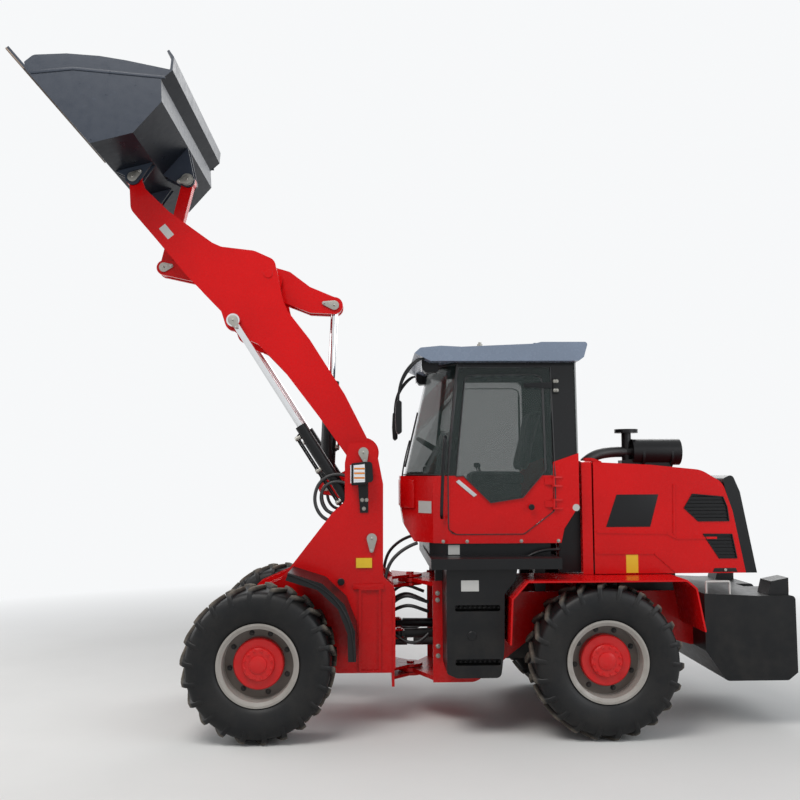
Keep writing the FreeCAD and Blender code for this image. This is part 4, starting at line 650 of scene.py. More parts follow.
def bolt_tree():
    """A hexagon head with its washer and thread's end on every point, facing as the point says."""
    tree = Tree("bolt_pattern", [
        ("Size", "NodeSocketFloat", 0.022),
        ("Seed", "NodeSocketInt", 7),
        ("Paint", "NodeSocketMaterial", None),
    ])
    size = tree.given["Size"]
    shapes = []
    for sides, radius, height, start in BOLT_STACK:
        disc = tree.add("GeometryNodeMeshCylinder", {
            "Vertices": sides, "Radius": tree.times(size, radius), "Depth": tree.times(size, height),
        })
        shapes.append(tree.raised(disc.outputs["Mesh"], tree.times(size, start + height / 2)))
    crown = tree.add("GeometryNodeMeshCone", {
        "Vertices": 6, "Radius Bottom": tree.times(size, 0.5), "Radius Top": tree.times(size, 0.4),
        "Depth": tree.times(size, 0.08),
    })
    shapes.append(tree.raised(crown.outputs["Mesh"], tree.times(size, 0.46)))
    head = tree.add("GeometryNodeJoinGeometry")
    for shape in shapes:
        tree.tree.links.new(shape, head.inputs[0])
    facing = tree.add("GeometryNodeInputNamedAttribute", {"Name": "facing"}, data_type="FLOAT_VECTOR")
    turn = tree.add("FunctionNodeAlignRotationToVector", {"Vector": facing.outputs[0]}, axis="Z")
    spin = tree.add("FunctionNodeRandomValue", {3: 2 * math.pi, "Seed": tree.given["Seed"]}, data_type="FLOAT")
    spun = tree.add("ShaderNodeCombineXYZ", {"Z": spin.outputs[1]})
    heads = tree.add("GeometryNodeInstanceOnPoints", {
        "Points": tree.given["Geometry"], "Instance": head.outputs[0], "Rotation": turn.outputs[0],
    })
    turned = tree.add("GeometryNodeRotateInstances", {"Instances": heads.outputs[0], "Rotation": spun.outputs[0]})
    tree.finish(turned.outputs[0], tree.given["Paint"])
    return tree


def bar_tree():
    """A flat bar along every edge, its broad face turned by an angle."""
    tree = Tree("bar_pattern", [
        ("Width", "NodeSocketFloat", 0.01),
        ("Thickness", "NodeSocketFloat", 0.003),
        ("Tilt", "NodeSocketFloat", 0.0),
        ("Paint", "NodeSocketMaterial", None),
    ])
    line = tree.add("GeometryNodeMeshToCurve", {"Mesh": tree.given["Geometry"]})
    upright = tree.add("GeometryNodeSetCurveNormal", {"Curve": line.outputs[0]}, mode="Z_UP")
    tilted = tree.add("GeometryNodeSetCurveTilt", {"Curve": upright.outputs[0], "Tilt": tree.given["Tilt"]})
    outline = tree.add("GeometryNodeCurvePrimitiveQuadrilateral", {
        "Width": tree.given["Width"], "Height": tree.given["Thickness"],
    })
    bar = tree.add("GeometryNodeCurveToMesh", {
        "Curve": tilted.outputs[0], "Profile Curve": outline.outputs[0], "Fill Caps": True,
    })
    tree.finish(bar.outputs[0], tree.given["Paint"])
    return tree


def ring_tree():
    """The shape again and again round the Y axis."""
    tree = Tree("ring_pattern", [
        ("Count", "NodeSocketInt", 22),
        ("First", "NodeSocketFloat", 0.0),
        ("Paint", "NodeSocketMaterial", None),
    ])
    points = tree.add("GeometryNodeMeshLine", {"Count": tree.given["Count"], "Offset": (0, 0, 0)})
    step = tree.add("ShaderNodeMath", {0: 2 * math.pi, 1: tree.given["Count"]}, operation="DIVIDE")
    place = tree.add("ShaderNodeMath", {
        0: tree.add("GeometryNodeInputIndex").outputs[0], 1: step.outputs[0], 2: tree.given["First"],
    }, operation="MULTIPLY_ADD")
    turn = tree.add("ShaderNodeCombineXYZ", {"Y": place.outputs[0]})
    copies = tree.add("GeometryNodeInstanceOnPoints", {
        "Points": points.outputs[0], "Instance": tree.given["Geometry"], "Rotation": turn.outputs[0],
    })
    tree.finish(copies.outputs[0], tree.given["Paint"])
    return tree


PATTERNS = {"bolts": bolt_tree, "bars": bar_tree, "ring": ring_tree}
TREES = {}


def patterned(name, mesh, paint, **values):
    """A mesh repeated by a pattern's tree, which is built at its first use."""
    if name not in TREES:
        TREES[name] = PATTERNS[name]()
    return TREES[name].run(mesh, Paint=finish(paint), **values)


def bolts(name, body, rows, size, paint):
    """Bolt heads; each row is x, y, z and the way the head faces."""
    mesh = bpy.data.meshes.new("points")
    mesh.from_pydata([at(*row[:3]) for row in rows], [], [])
    facing = mesh.attributes.new("facing", "FLOAT_VECTOR", "POINT")
    facing.data.foreach_set("vector", [value for row in rows for value in row[3]])
    made = patterned("bolts", mesh, paint, Size=size, Seed=7)
    return put(name, made, body, paint, smooth=20)


def bars(name, body, rows, width, thickness, paint, tilt=0.0):
    """Flat bars; each row is the two ends of one, in millimetres."""
    mesh = bpy.data.meshes.new("lines")
    ends = [at(*end) for row in rows for end in row]
    mesh.from_pydata(ends, [(2 * i, 2 * i + 1) for i in range(len(rows))], [])
    made = patterned("bars", mesh, paint, Width=width, Thickness=thickness, Tilt=tilt)
    return put(name, made, body, paint, smooth=30)


def chain(points, closed=False):
    """A line of points as the pairs of ends of its bars."""
    return list(zip(points, points[1:] + (points[:1] if closed else [])))


def edging(outline, y, closed=True):
    """Bars along an outline of x and z, on each side."""
    return [bar for side in SIDES for bar in chain([(x, side * y, z) for x, z in outline], closed)]


def side_heads(y, places):
    """Bolt heads that face out at each x and z, on each side."""
    return [(x, side * y, z, (0, side, 0)) for side in SIDES for x, z in places]


# Tyres and wheels

AXLES = {"front": 0, "rear": -1000 * WHEELBASE}
AXLE_HEIGHT = 1000 * AXLE_Z
TRACK = 750
# across from the tyre's middle and radius, over one side of its skin
TYRE_SKIN = [
    (150, 266), (158.5, 288), (172, 300), (186, 330), (196, 370), (201, 412), (199, 450), (188, 482), (170, 498),
    (140, 503), (70, 506),
]
TREAD_RADIUS = 507
LUG_RADIUS = 536
# across, the lug's top, its foot
LUG_STATIONS = [
    (6, LUG_RADIUS, 495), (60, LUG_RADIUS, 495), (120, LUG_RADIUS, 492), (163, 533, 485), (184, 510, 470),
    (197, 480, 450), (203, 445, 430), (202, 420, 415),
]
LUG_COUNT = 22
LUG_TOP, LUG_FOOT = 17, 21
LUG_SLANT = math.tan(math.radians(25))
LUG_START = 20 - 105 * LUG_SLANT
# angles of the nuts on the dish, and of the bolts on the nave
NUTS = (31, 75, 111, 156, 203, 253, 302, 350)
NAVE_BOLTS = range(15, 375, 30)
DISH_FACE = TRACK + 33
NAVE_FACE = 879
NAVE_CIRCLE = 95
NAVE_CAP = [(870, 44), (882, 62), (888, 60), (893, 48), (896, 20), (896, 0)]


def wheels():
    """End, axle's x, side and hand of each wheel."""
    for end, x in AXLES.items():
        for side, hand in zip(SIDES, ("left", "right")):
            yield end, x, side, hand


def lug_mesh(side):
    """One lug about the axle's line, its foot wider than its top."""
    form = Form()
    rings = []
    for across, top, foot in LUG_STATIONS:
        drift = across * LUG_SLANT + LUG_START
        section = [(-LUG_TOP, top), (LUG_TOP, top), (LUG_FOOT, foot), (-LUG_FOOT, foot)]
        turns = [((drift + along) / LUG_RADIUS, radius) for along, radius in section]
        ring = [(radius * math.sin(turn), side * across, radius * math.cos(turn)) for turn, radius in turns]
        rings.append([form.bm.verts.new(Vector(point) / 1000) for point in ring])
    form.bm.faces.new(rings[0])
    form.bm.faces.new(rings[-1])
    for near, far in zip(rings, rings[1:]):
        for i, j in ((0, 1), (1, 2), (2, 3), (3, 0)):
            form.bm.faces.new([near[i], near[j], far[j], far[i]])
    form.chamfer(4, 1)
    return form.mesh("lug")


class LOADER_OT_tyres(bpy.types.Operator):
    """Mould the four tyres with their slanted lugs"""

    bl_idname = "loader.tyres"
    bl_label = "Tyres"

    def execute(self, context):
        skin = TYRE_SKIN + [(0, TREAD_RADIUS)] + [(-across, radius) for across, radius in reversed(TYRE_SKIN)]
        for end, x, side, hand in wheels():
            middle = (x, side * TRACK, AXLE_HEIGHT)
            form = Form()
            form.turned(middle, LEFT, skin, sides=88, closed=True)
            for row in SIDES:
                first = 0.0 if row > 0 else math.pi / LUG_COUNT
                ring = patterned("ring", lug_mesh(row), f"tyre_{end}", Count=LUG_COUNT, First=first)
                ring.transform(Matrix.Translation(at(*middle)))
                form.take(ring)
            replaced = [f"tyre_{end}_{hand}"]
            show(f"tread_{end}_{hand}", form, f"{end}_{hand}_wheel", f"tyre_{end}", smooth=38, replaces=replaced)
        return {"FINISHED"}


class LOADER_OT_wheel_nuts(bpy.types.Operator):
    """Fasten the wheels: nuts on the dish, bolts on the nave, a cap over its bore"""

    bl_idname = "loader.wheel_nuts"
    bl_label = "Wheel Nuts"

    def execute(self, context):
        sizes = context.scene.loader_sizes
        circles = [
            # piece, radius, angles, face, head's size, finish
            ("wheel_nuts", sizes.nut_circle * 1000, NUTS, DISH_FACE, sizes.wheel_nut, "casting"),
            ("nave_bolts", NAVE_CIRCLE, NAVE_BOLTS, NAVE_FACE, sizes.nave_bolt, None),
        ]
        for end, x, side, hand in wheels():
            body = f"{end}_{hand}_wheel"
            out = (0, side, 0)
            for name, radius, angles, face, size, paint in circles:
                turns = [math.radians(angle) for angle in angles]
                rows = [
                    (x + radius * math.cos(turn), side * face, AXLE_HEIGHT + radius * math.sin(turn), out)
                    for turn in turns
                ]
                bolts(f"{name}_{end}_{hand}", body, rows, size, paint or f"wheel_{end}")
            cap = Form()
            cap.turned((x, 0, AXLE_HEIGHT), out, NAVE_CAP, sides=40)
            show(f"nave_cap_{end}_{hand}", cap, body, f"wheel_{end}", smooth=30)
        return {"FINISHED"}


# Pins' keepers

KEEPER_HEAD, KEEPER_TAIL, KEEPER_THICK = 38, 15, 8
GREASE_FITTING = [(0, 9), (3, 9), (5, 5), (11, 4.5), (12, 0)]
# pin, x, z, face it lies on, tail's dx and dz, body
KEEPERS = [
    ("boom_pin", -726, 2008, 485, -12, -66, "front"),
    ("lift_base", -786, 1370, 485, 1, -89, "front"),
    ("lift_eye", 262, 3016, 437, -29, -56, "lift_rods"),
    ("tilt_eye", -490, 3193, 83, 83, 17, "bellcrank"),
    ("bucket_pin", 1050, 4140, 387, -58, 42, "bucket_pins"),
    ("link_pin", 693, 4217, 83, 67, -17, "link_pin"),
    ("crank_link", 868, 3500, 83, -60, 10, "bellcrank"),
    ("crank_pin", 7, 3391, 111, 54, -30, "bellcrank_pin"),
]


def arc(x, z, radius, start, end, count=15):
    turns = [start + (end - start) * k / (count - 1) for k in range(count)]
    return [(x + radius * math.cos(turn), z + radius * math.sin(turn)) for turn in turns]


def keeper_outline(x, z, dx, dz):
    """A round head drawn out to a tail."""
    lean = math.atan2(dz, dx)
    spread = math.acos((KEEPER_HEAD - KEEPER_TAIL) / math.hypot(dx, dz))
    head = arc(x, z, KEEPER_HEAD, lean + spread, lean + 2 * math.pi - spread)
    return head + arc(x + dx, z + dz, KEEPER_TAIL, lean - spread, lean + spread)


class LOADER_OT_keepers(bpy.types.Operator):
    """Lock each pin with its plated keeper, bolt and grease fitting"""

    bl_idname = "loader.keepers"
    bl_label = "Pin Keepers"

    def execute(self, context):
        for name, x, z, face, dx, dz, body in KEEPERS:
            top = face - 1 + KEEPER_THICK
            form = Form()
            form.plate(face - 1, top, keeper_outline(x, z, dx, dz))
            form.knob(x, top, z, GREASE_FITTING, 12)
            show(f"keeper_{name}", form, body, "zinc", chamfer=1.5)
            heads = side_heads(top, [(x + dx, z + dz)])
            bolts(f"keeper_bolts_{name}", body, heads, context.scene.loader_sizes.body_bolt, "steel")
        return {"FINISHED"}


# Front frame and lamps

FRAME_FACE = 485
# the mudguard's edge, its lip's place across, and how deep its skirt hangs
MUDGUARD = [(-668, 560), (-662, 765), (-590, 945), (-440, 1085), (-205, 1160)]
LIP_FACE = 924
SKIRT_DEPTH = 46
SKIRT_CENTRE = 537
FRAME_RIBS = [
    # outline, whether it closes
    ([(-844, 404), (-844, 1000), (-698, 1000), (-698, 404)], True),
    ([(-949, 420), (-949, 985)], False),
]
FRONT_PLATES = [
    # piece, finish, chamfer, near, far, outline
    ("weld_plates", "red", 3, 483, 491, box(-875, -646, 998, 1037)),
    ("frame_labels", "label", 0, 484, 486, box(-787, -669, 1155, 1227)),
]


class LOADER_OT_front_trim(bpy.types.Operator):
    """Line the front frame: weld plates, ribs, access cap, label and mudguard lips"""

    bl_idname = "loader.front_trim"
    bl_label = "Front Frame Trim"

    def execute(self, context):
        plates("front", FRONT_PLATES)
        caps, lips, skirts = Form(), Form(), Form()
        caps.knob(-558, FRAME_FACE, 1054, [(-2, 26), (5, 26), (8, 22), (8, 0)], 28)
        show("frame_caps", caps, "front", "black", smooth=30)
        lips.hoses([(x, LIP_FACE, z) for x, z in MUDGUARD], 0.009, 10)
        show("mudguard_lips", lips, "front", "black", smooth=50)
        shares = [1 - SKIRT_DEPTH / math.hypot(x, z - SKIRT_CENTRE) for x, z in MUDGUARD]
        inner = [
            (x * share, SKIRT_CENTRE + (z - SKIRT_CENTRE) * share) for (x, z), share in zip(MUDGUARD, shares)
        ]
        for k in range(len(MUDGUARD) - 1):
            skirts.plate(916, 926, [MUDGUARD[k], MUDGUARD[k + 1], inner[k + 1], inner[k]])
        show("mudguard_skirts", skirts, "front", "black")
        ribs = [bar for outline, closed in FRAME_RIBS for bar in edging(outline, FRAME_FACE, closed)]
        bars("frame_ribs", "front", ribs, 0.018, 0.014, "red")
        return {"FINISHED"}


LAMP_BOLTS = [(-715, 1654), (-748, 1654), (-728, 1590)]
LAMP_FACE = 608
LAMP_PLATES = [
    # piece, finish, chamfer, near, far, outline
    ("lamp_shells", "black", 8, 482, 607, [(-757, 1790), (-742, 1768), (-638, 1764), (-638, 1925), (-752, 1938)]),
    ("lamp_lenses", "lamp", 3, 600, 611, [(-742, 1786), (-652, 1782), (-652, 1914), (-740, 1922)]),
    ("lamp_lenses", "lamp", 3, 492, 598, [(-640, 1780), (-630, 1779), (-630, 1913), (-640, 1914)]),
    *[("lamp_marks", "amber", 2, 608, 613, box(-736, -658, z, z + 14)) for z in (1812, 1846, 1880)],
]


class LOADER_OT_headlamps(bpy.types.Operator):
    """Close the headlamps with their shells, ribbed lenses and bright bolts"""

    bl_idname = "loader.headlamps"
    bl_label = "Headlamps"

    def execute(self, context):
        plates("front", LAMP_PLATES)
        frames = edging([(-745, 1782), (-649, 1777), (-649, 1917), (-743, 1927)], LAMP_FACE)
        bars("lamp_frames", "front", frames, 0.01, 0.012, "black")
        heads = side_heads(FRAME_FACE, LAMP_BOLTS)
        bolts("lamp_bolts", "front", heads, context.scene.loader_sizes.body_bolt, "zinc")
        return {"FINISHED"}


# Hydraulics


class Cylinder:
    """Places beside a cylinder, from its lower pin and its direction in x and z."""

    def __init__(self, base, line):
        self.base = base
        self.line = line

    def beside(self, along, off):
        (x, z), (dx, dz) = self.base, self.line
        return x + dx * along + dz * off, z + dz * along - dx * off

    def pipe(self, form, y, rows, radius):
        """A pipe through rows of a distance along and one off to the front."""
        form.hose([(x, y, z) for x, z in (self.beside(*row) for row in rows)], radius)

    def nut(self, form, y, along, near, far, rows):
        """A turned fitting that stands off the barrel."""
        low, high = self.beside(along, near), self.beside(along, far)
        form.turned((low[0], y, low[1]), (high[0] - low[0], 0, high[1] - low[1]), rows, 12)


LIFT = Cylinder((-786, 1370), (0.537, 0.8435))
TILT = Cylinder((-425, 1743), (-0.0448, 0.999))
LIFT_TRACK = 395
LIFT_NUT = [(0, 20), (30, 20), (34, 16), (46, 16), (48, 0)]
TILT_NUT = [(0, 22), (40, 22), (44, 0)]
TILT_COLLAR = [(800, 50), (800, 61), (804, 64), (846, 64), (850, 61), (850, 50)]
TILT_RUN = [(780, -50), (780, -78), (740, -80), (500, -80), (340, -80), (300, -78), (290, -50)]


class LOADER_OT_pipes(bpy.types.Operator):
    """Fit the cylinders with a gland collar, steel pipes and their nuts"""

    bl_idname = "loader.pipes"
    bl_label = "Cylinder Pipes"

    def execute(self, context):
        radius = context.scene.loader_sizes.pipe
        pipes, nuts = Form(), Form()
        for side in SIDES:
            for off, out in ((62, 10), (78, -14)):
                rows = [(950, 40), *[(along, off) for along in (950, 900, 600, 380, 330)], (318, 50), (312, 30)]
                LIFT.pipe(pipes, side * (LIFT_TRACK + out), rows, radius)
            for along in (930, 640, 360):
                LIFT.nut(nuts, side * LIFT_TRACK, along, 44, 92, LIFT_NUT)
        show("lift_pipes", pipes, "lift_barrels", "black", smooth=50)
        show("lift_clips", nuts, "lift_barrels", "zinc", smooth=30)
        collar, pipes, nuts = Form(), Form(), Form()
        (x, z), (dx, dz) = TILT.base, TILT.line
        collar.turned((x, 0, z), (dx, 0, dz), TILT_COLLAR, 40)
        for y in (-14, 14):
            TILT.pipe(pipes, y, TILT_RUN, radius)
        for along in (760, 320):
            TILT.nut(nuts, 0, along, -46, -92, TILT_NUT)
        show("tilt_collar", collar, "tilt_barrel", "black", smooth=30)
        show("tilt_pipes", pipes, "tilt_barrel", "black", smooth=50)
        show("tilt_clips", nuts, "tilt_barrel", "zinc", smooth=30)
        return {"FINISHED"}


# piece, the two bodies that hold it, the points of each line
HOSES = [
    ("lift_hoses", "lift_barrels", "front", [
        [(-598, 462, 1560), (-500, 462, 1540), (-420, 462, 1590), (-400, 462, 1700), (-450, 462, 1790),
         (-560, 462, 1800), (-640, 462, 1760)],
        [(-610, 462, 1500), (-470, 462, 1480), (-372, 462, 1560), (-350, 462, 1700), (-420, 462, 1840),
         (-560, 462, 1860), (-650, 462, 1810)],
    ]),
    ("waist_hoses", "front", "rear", [
        [(-953, 300, 880), (-1010, 330, 930), (-1080, 350, 935), (-1150, 340, 900), (-1211, 320, 880)],
        [(-953, 300, 820), (-1020, 345, 860), (-1090, 365, 865), (-1160, 350, 830), (-1211, 320, 810)],
        [(-953, 290, 640), (-1020, 320, 590), (-1090, 330, 570), (-1160, 320, 590), (-1211, 300, 640)],
    ]),
    ("valve_hoses", "front", "rear", [
        [(-880, 440, 1010), (-891, 450, 1150), (-960, 455, 1250), (-1060, 445, 1310), (-1126, 420, 1330)],
    ]),
]


class LOADER_OT_hoses(bpy.types.Operator):
    """Run the hydraulic hoses between the cylinders and the two frames"""

    bl_idname = "loader.hoses"
    bl_label = "Hoses"

    def execute(self, context):
        for name, first, second, lines in HOSES:
            form = Form()
            for line in lines:
                form.hoses(line, context.scene.loader_sizes.hose, 8)
            thing = show(name, form, None, "hose", smooth=50)
            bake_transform(thing)
        return {"FINISHED"}


# Boom and bucket

BUCKET_LIP = (1791, 4874)
# x and z of a step back along the bucket's floor, and of one out from it
FLOOR_BACK, FLOOR_OUT = (-0.6547, -0.756), (0.756, -0.655)
# how far back and out the cutting edge's corners are
EDGE_SECTION = [(-3, 2), (4, 12), (196, 12), (200, -1), (0, -1)]
SIDE_BAND = [(1627, 4703), (1320, 4734), (671, 4672), (668, 4652), (1318, 4712), (1612, 4682)]
BOOM_LABEL = (790, 3718)
BOOM_SLOPE = math.radians(50)
CRANK_PIN = (7, 3391)


class LOADER_OT_bucket_trim(bpy.types.Operator):
    """Fit the bucket's cutting edge and side bands, and label the boom"""

    bl_idname = "loader.bucket_trim"
    bl_label = "Bucket Trim"

    def execute(self, context):
        edge, bosses = Form(), Form()
        edge.prism("y", -1003, 1003, [
            tuple(BUCKET_LIP[k] + FLOOR_BACK[k] * back + FLOOR_OUT[k] * out for k in (0, 1))
            for back, out in EDGE_SECTION
        ])
        show("cutting_edge", edge, "bucket", "edge_steel", chamfer=2)
        plates("bucket", [("bucket_bands", "bucket", 1.5, 999, 1005, SIDE_BAND)])
        x, z = BOOM_LABEL
        cos, sin = math.cos(BOOM_SLOPE), math.sin(BOOM_SLOPE)
        label = [(x + u * cos - v * sin, z + u * sin + v * cos) for u, v in box(-55, 55, -30, 30)]
        plates("boom", [("boom_labels", "blank", 0, 354, 356, label)])
        bosses.knob(CRANK_PIN[0], 353, CRANK_PIN[1], [(0, 36), (6, 36), (9, 32), (9, 0)], 32)
        show("boom_bosses", bosses, "boom", "red", smooth=30)
        return {"FINISHED"}


# Cab

SILL_Z = 1830
CAB_HALF = 600
# x and z of the glass's edge and of the gap round the door, from the side
DOOR_OPENING = [
    (-1405, 1825), (-1478, 2530), (-1500, 2572), (-1540, 2578), (-2010, 2578), (-2050, 2560), (-2060, 2520),
    (-2068, 1866), (-2038, SILL_Z), (-1895, 1668), (-1660, 1632), (-1460, SILL_Z),
]
DOOR_EDGE = [
    (-1348, SILL_Z), (-1430, 2636), (-2122, 2636), (-2138, SILL_Z), (-2138, 1590), (-2120, 1562), (-1910, 1408),
    (-1890, 1403), (-1412, 1403), (-1375, 1412), (-1352, 1440), (-1348, 1480),
]
# the left half of the windscreen's edge, from the nose's foot over the pillar to the nose's top
SCREEN_EDGE = [
    (-1050, 200, 1840), (-1250, 518, 1840), (-1345, 596, 1840), (-1424, 565, 2660), (-1372, 490, 2660),
    (-1242, 200, 2660),
]


def cab_side(z):
    """How far out the cab's side stands at a height."""
    return CAB_HALF - (z - SILL_Z) / 843 * 35


def on_nose(x, off, side):
    """x and y of a place on the nose's slanted side, at a distance off its face."""
    y = 200 + (-1008 - x) * 320 / 232
    return x + off * 0.81, side * (y + off * 0.587)


def nose_plates(name, low, high, start, end, near, far, paint, chamfer=0):
    """A plate on each slanted side of the nose."""
    form = Form()
    corners = ((start, near), (start, far), (end, far), (end, near))
    for side in SIDES:
        form.prism("z", low, high, [on_nose(x, off, side) for x, off in corners])
    show(name, form, "rear", paint, chamfer=chamfer)


class LOADER_OT_cab_seals(bpy.types.Operator):
    """Seat the cab's glass in rubber"""

    bl_idname = "loader.cab_seals"
    bl_label = "Cab Seals"

    def execute(self, context):
        seal = context.scene.loader_sizes.seal
        for name, body, side in (("door_glass_seal", "door", 1), ("side_glass_seal", "rear", -1)):
            rows = chain([(x, side * (cab_side(z) + 1), z) for x, z in DOOR_OPENING], closed=True)
            bars(name, body, rows, seal, 0.006, "seal")
        edge = chain([(x, cab_side(max(z, SILL_Z)) + 1, z) for x, z in DOOR_EDGE], closed=True)
        bars("door_edge_seal", "rear", edge, 0.009, 0.005, "seal")
        left, right = ([(x, side * y, z) for x, y, z in SCREEN_EDGE] for side in SIDES)
        rows = chain(left) + chain(right) + [(right[0], left[0]), (right[-1], left[-1])]
        bars("windscreen_seal", "rear", rows, seal, 0.008, "seal")
        return {"FINISHED"}


FRONT_RAIL = [
    (-1300, 600, 1525), (-1296, 630, 1530), (-1294, 645, 1560), (-1300, 645, 1700), (-1312, 645, 1950),
    (-1322, 645, 2080), (-1326, 630, 2112), (-1330, 590, 2116),
]
STEP_RAIL = [
    (-1885, 570, 1205), (-1885, 640, 1205), (-1900, 655, 1240), (-2020, 655, 1290), (-2140, 655, 1294),
    (-2160, 640, 1294), (-2160, 570, 1294),
]
# x and z of the bolts in the upper hinge and along the tub's foot
HINGE_BOLTS = [(x, z) for z in (2461, 2529) for x in (-2168, -2151)]
TUB_BOLTS = [(x, 1352) for x in (-1308, -1484, -1882, -2155)]
WIPER_ARM = [(-1024, 120, 1816), (-1030, 112, 1900), (-1060, 100, 2020), (-1086, 92, 2110)]
WIPER_BLADE = [(-1048, 92, 1900), (-1100, 92, 2120), (-1150, 92, 2330)]
ROOF_RISE = [(-1985, 2806), (-2005, 2822), (-2370, 2790), (-2370, 2770), (-1985, 2786)]


class LOADER_OT_cab_trim(bpy.types.Operator):
    """Fit the cab's rails, hinge, badge, wiper, lamps, roof rise and blank plates"""

    bl_idname = "loader.cab_trim"
    bl_label = "Cab Trim"

    def execute(self, context):
        rails, hinge, arm, badge, wiper = Form(), Form(), Form(), Form(), Form()
        rails.hose(FRONT_RAIL, 0.012, 10)
        rails.hose(STEP_RAIL, 0.011, 10)
        show("grab_rails", rails, "rear", "black", smooth=50)
        hinge.prism("y", 568, 582, box(-2179, -2140, 2439, 2551))
        show("hinge_plates", hinge, "rear", "black", chamfer=2)
        heads = [(x, 581, z, LEFT) for x, z in HINGE_BOLTS] + side_heads(599, TUB_BOLTS)
        bolts("cab_bolts", "rear", heads, context.scene.loader_sizes.cab_bolt, "zinc")
        arm.prism("y", 570, 582, [(-2134, 2476), (-1919, 2484), (-1919, 2514), (-2134, 2522)])
        arm.turned((-1956, 628, 1599), LEFT, [(0, 22), (6, 22), (9, 18), (9, 8), (6, 8), (6, 0)], 24)
        show("door_hinges", arm, "door", "black", chamfer=2)
        badge.prism("y", 598, 606, [(-1404, 1786), (-1428, 1802), (-1560, 1690), (-1536, 1674)])
        show("door_badge", badge, "door", "shell", chamfer=3)
        wiper.turned((-1040, 120, 1816), FORWARD, [(-6, 16), (14, 16), (20, 10), (20, 0)], 20)
        wiper.hose(WIPER_ARM, 0.006)
        wiper.hose(WIPER_BLADE, 0.007)
        show("wiper", wiper, "rear", "seal", smooth=50)
        plates("rear", [("work_lamp_lenses", "lamp", 2, 433, 517, box(-1168, -1160, 2618, 2684))])
        blanks, rise, eyes = Form(), Form(), Form()
        blanks.plate(579, 582, box(-1430, -1345, 1255, 1325))
        blanks.knob(-2290, 599, 1593, [(0, 26), (2, 26), (2, 0)], 28)
        show("cab_plates", blanks, "rear", "blank")
        nose_plates("nose_plates", 1553, 1643, -1141, -1230, -1, 3, "blank")
        nose_plates("nose_covers", 1588, 1801, -1016, -1118, -2, 16, "red", chamfer=7)
        rise.prism("y", -560, 560, ROOF_RISE)
        show("roof_rise", rise, "rear", "roof", chamfer=6)
        for side in SIDES:
            eyes.turned((-1600, side * 540, 2805), UP, [(-8, 20), (8, 20), (10, 12), (22, 12), (24, 0)], 20)
        show("roof_eyes", eyes, "rear", "zinc", smooth=30)
        return {"FINISHED"}


MIRROR_HEAD = [(-1008, 2150), (-985, 2132), (-966, 2150), (-960, 2250), (-966, 2370), (-985, 2388), (-1008, 2370)]


class LOADER_OT_mirrors(bpy.types.Operator):
    """Hang the mirrors from the roof on their bent rods"""

    bl_idname = "loader.mirrors"
    bl_label = "Mirrors"

    def execute(self, context):
        heads, rods = Form(), Form()
        heads.plate(612, 698, MIRROR_HEAD)
        show("mirror_heads", heads, "rear", "black", chamfer=9, replaces=["mirrors"])
        for shift in (0, 26):
            rods.hoses([
                (-1178 + shift, 635, 2690), (-1150 + shift, 650, 2702 - shift / 3), (-1060 + shift / 2, 660, 2620),
                (-1000, 660, 2500 + shift), (-984, 658, 2440), (-984, 656, 2370),
            ], 0.0085, 8)
        show("mirror_rods", rods, "rear", "black", smooth=50)
        plates("rear", [("mirror_glass", "mirror", 0, 620, 690, box(-1011, -1007, 2156, 2364))])
        return {"FINISHED"}


# Seat and controls

# x and z of the seat's pads before they are stuffed, from the side
SEAT_PAD = [(-1985, 1772), (-1548, 1772), (-1548, 1846), (-1985, 1840)]
BACK_PAD = [(-1985, 1852), (-1945, 1872), (-2058, 2355), (-2108, 2345)]
PAD_HALF = 222
PAD_GRAIN = 0.012
LARGEST_SWELL = 0.02
STUFFING_FRAMES = 20


def blow(thing):
    """Press the shell out from inside."""
    step = thing.modifiers.new("stuffing", "CLOTH")
    cloth = step.settings
    cloth.quality = 6
    cloth.mass = 0.3
    cloth.tension_stiffness = cloth.compression_stiffness = 12
    cloth.bending_stiffness = 0.6
    cloth.use_pressure = True
    cloth.uniform_pressure_force = 4
    cloth.effector_weights.gravity = 0
    step.collision_settings.use_collision = False
    step.point_cache.frame_start = 1
    step.point_cache.frame_end = STUFFING_FRAMES
    for number in range(1, STUFFING_FRAMES + 1):
        bpy.context.scene.frame_set(number)
    bpy.context.view_layer.update()


def stuffed(name, outline):
    """A pad's shell, blown up a little from inside as stuffing does."""
    form = Form()
    form.prism("y", -PAD_HALF, PAD_HALF, outline)
    form.chamfer(22, 3)
    shell = form.mesh(name)
    thing = bpy.data.objects.new(name, shell)
    bpy.context.scene.collection.objects.link(thing)
    remesh = thing.modifiers.new("even", "REMESH")
    remesh.mode = "VOXEL"
    remesh.voxel_size = PAD_GRAIN
    even = evaluated_mesh(thing)
    thing.modifiers.remove(remesh)
    thing.data = even
    bpy.data.meshes.remove(shell)
    blow(thing)
    full = evaluated_mesh(thing)
    thing.modifiers.clear()
    for vertex, start in zip(full.vertices, even.vertices):
        move = vertex.co - start.co
        if move.length > LARGEST_SWELL:
            vertex.co = start.co + move.normalized() * LARGEST_SWELL
    thing.data = full
    bpy.data.meshes.remove(even)
    smoother = thing.modifiers.new("round", "SUBSURF")
    smoother.levels = smoother.render_levels = 1
    done = evaluated_mesh(thing)
    coarse = thing.data
    bpy.data.objects.remove(thing)
    bpy.data.meshes.remove(coarse)
    return done


class LOADER_OT_seat(bpy.types.Operator):
    """Stuff the seat's two cloth pads"""

    bl_idname = "loader.seat"
    bl_label = "Seat"

    def execute(self, context):
        form = Form()
        for name, outline in (("pad", SEAT_PAD), ("back", BACK_PAD)):
            form.take(stuffed(name, outline))
        seat = show("seat_pads", form, "rear", "cloth", smooth=60, replaces=["seat_cushion"])
        context.scene.frame_set(1)
        return {"FINISHED"}


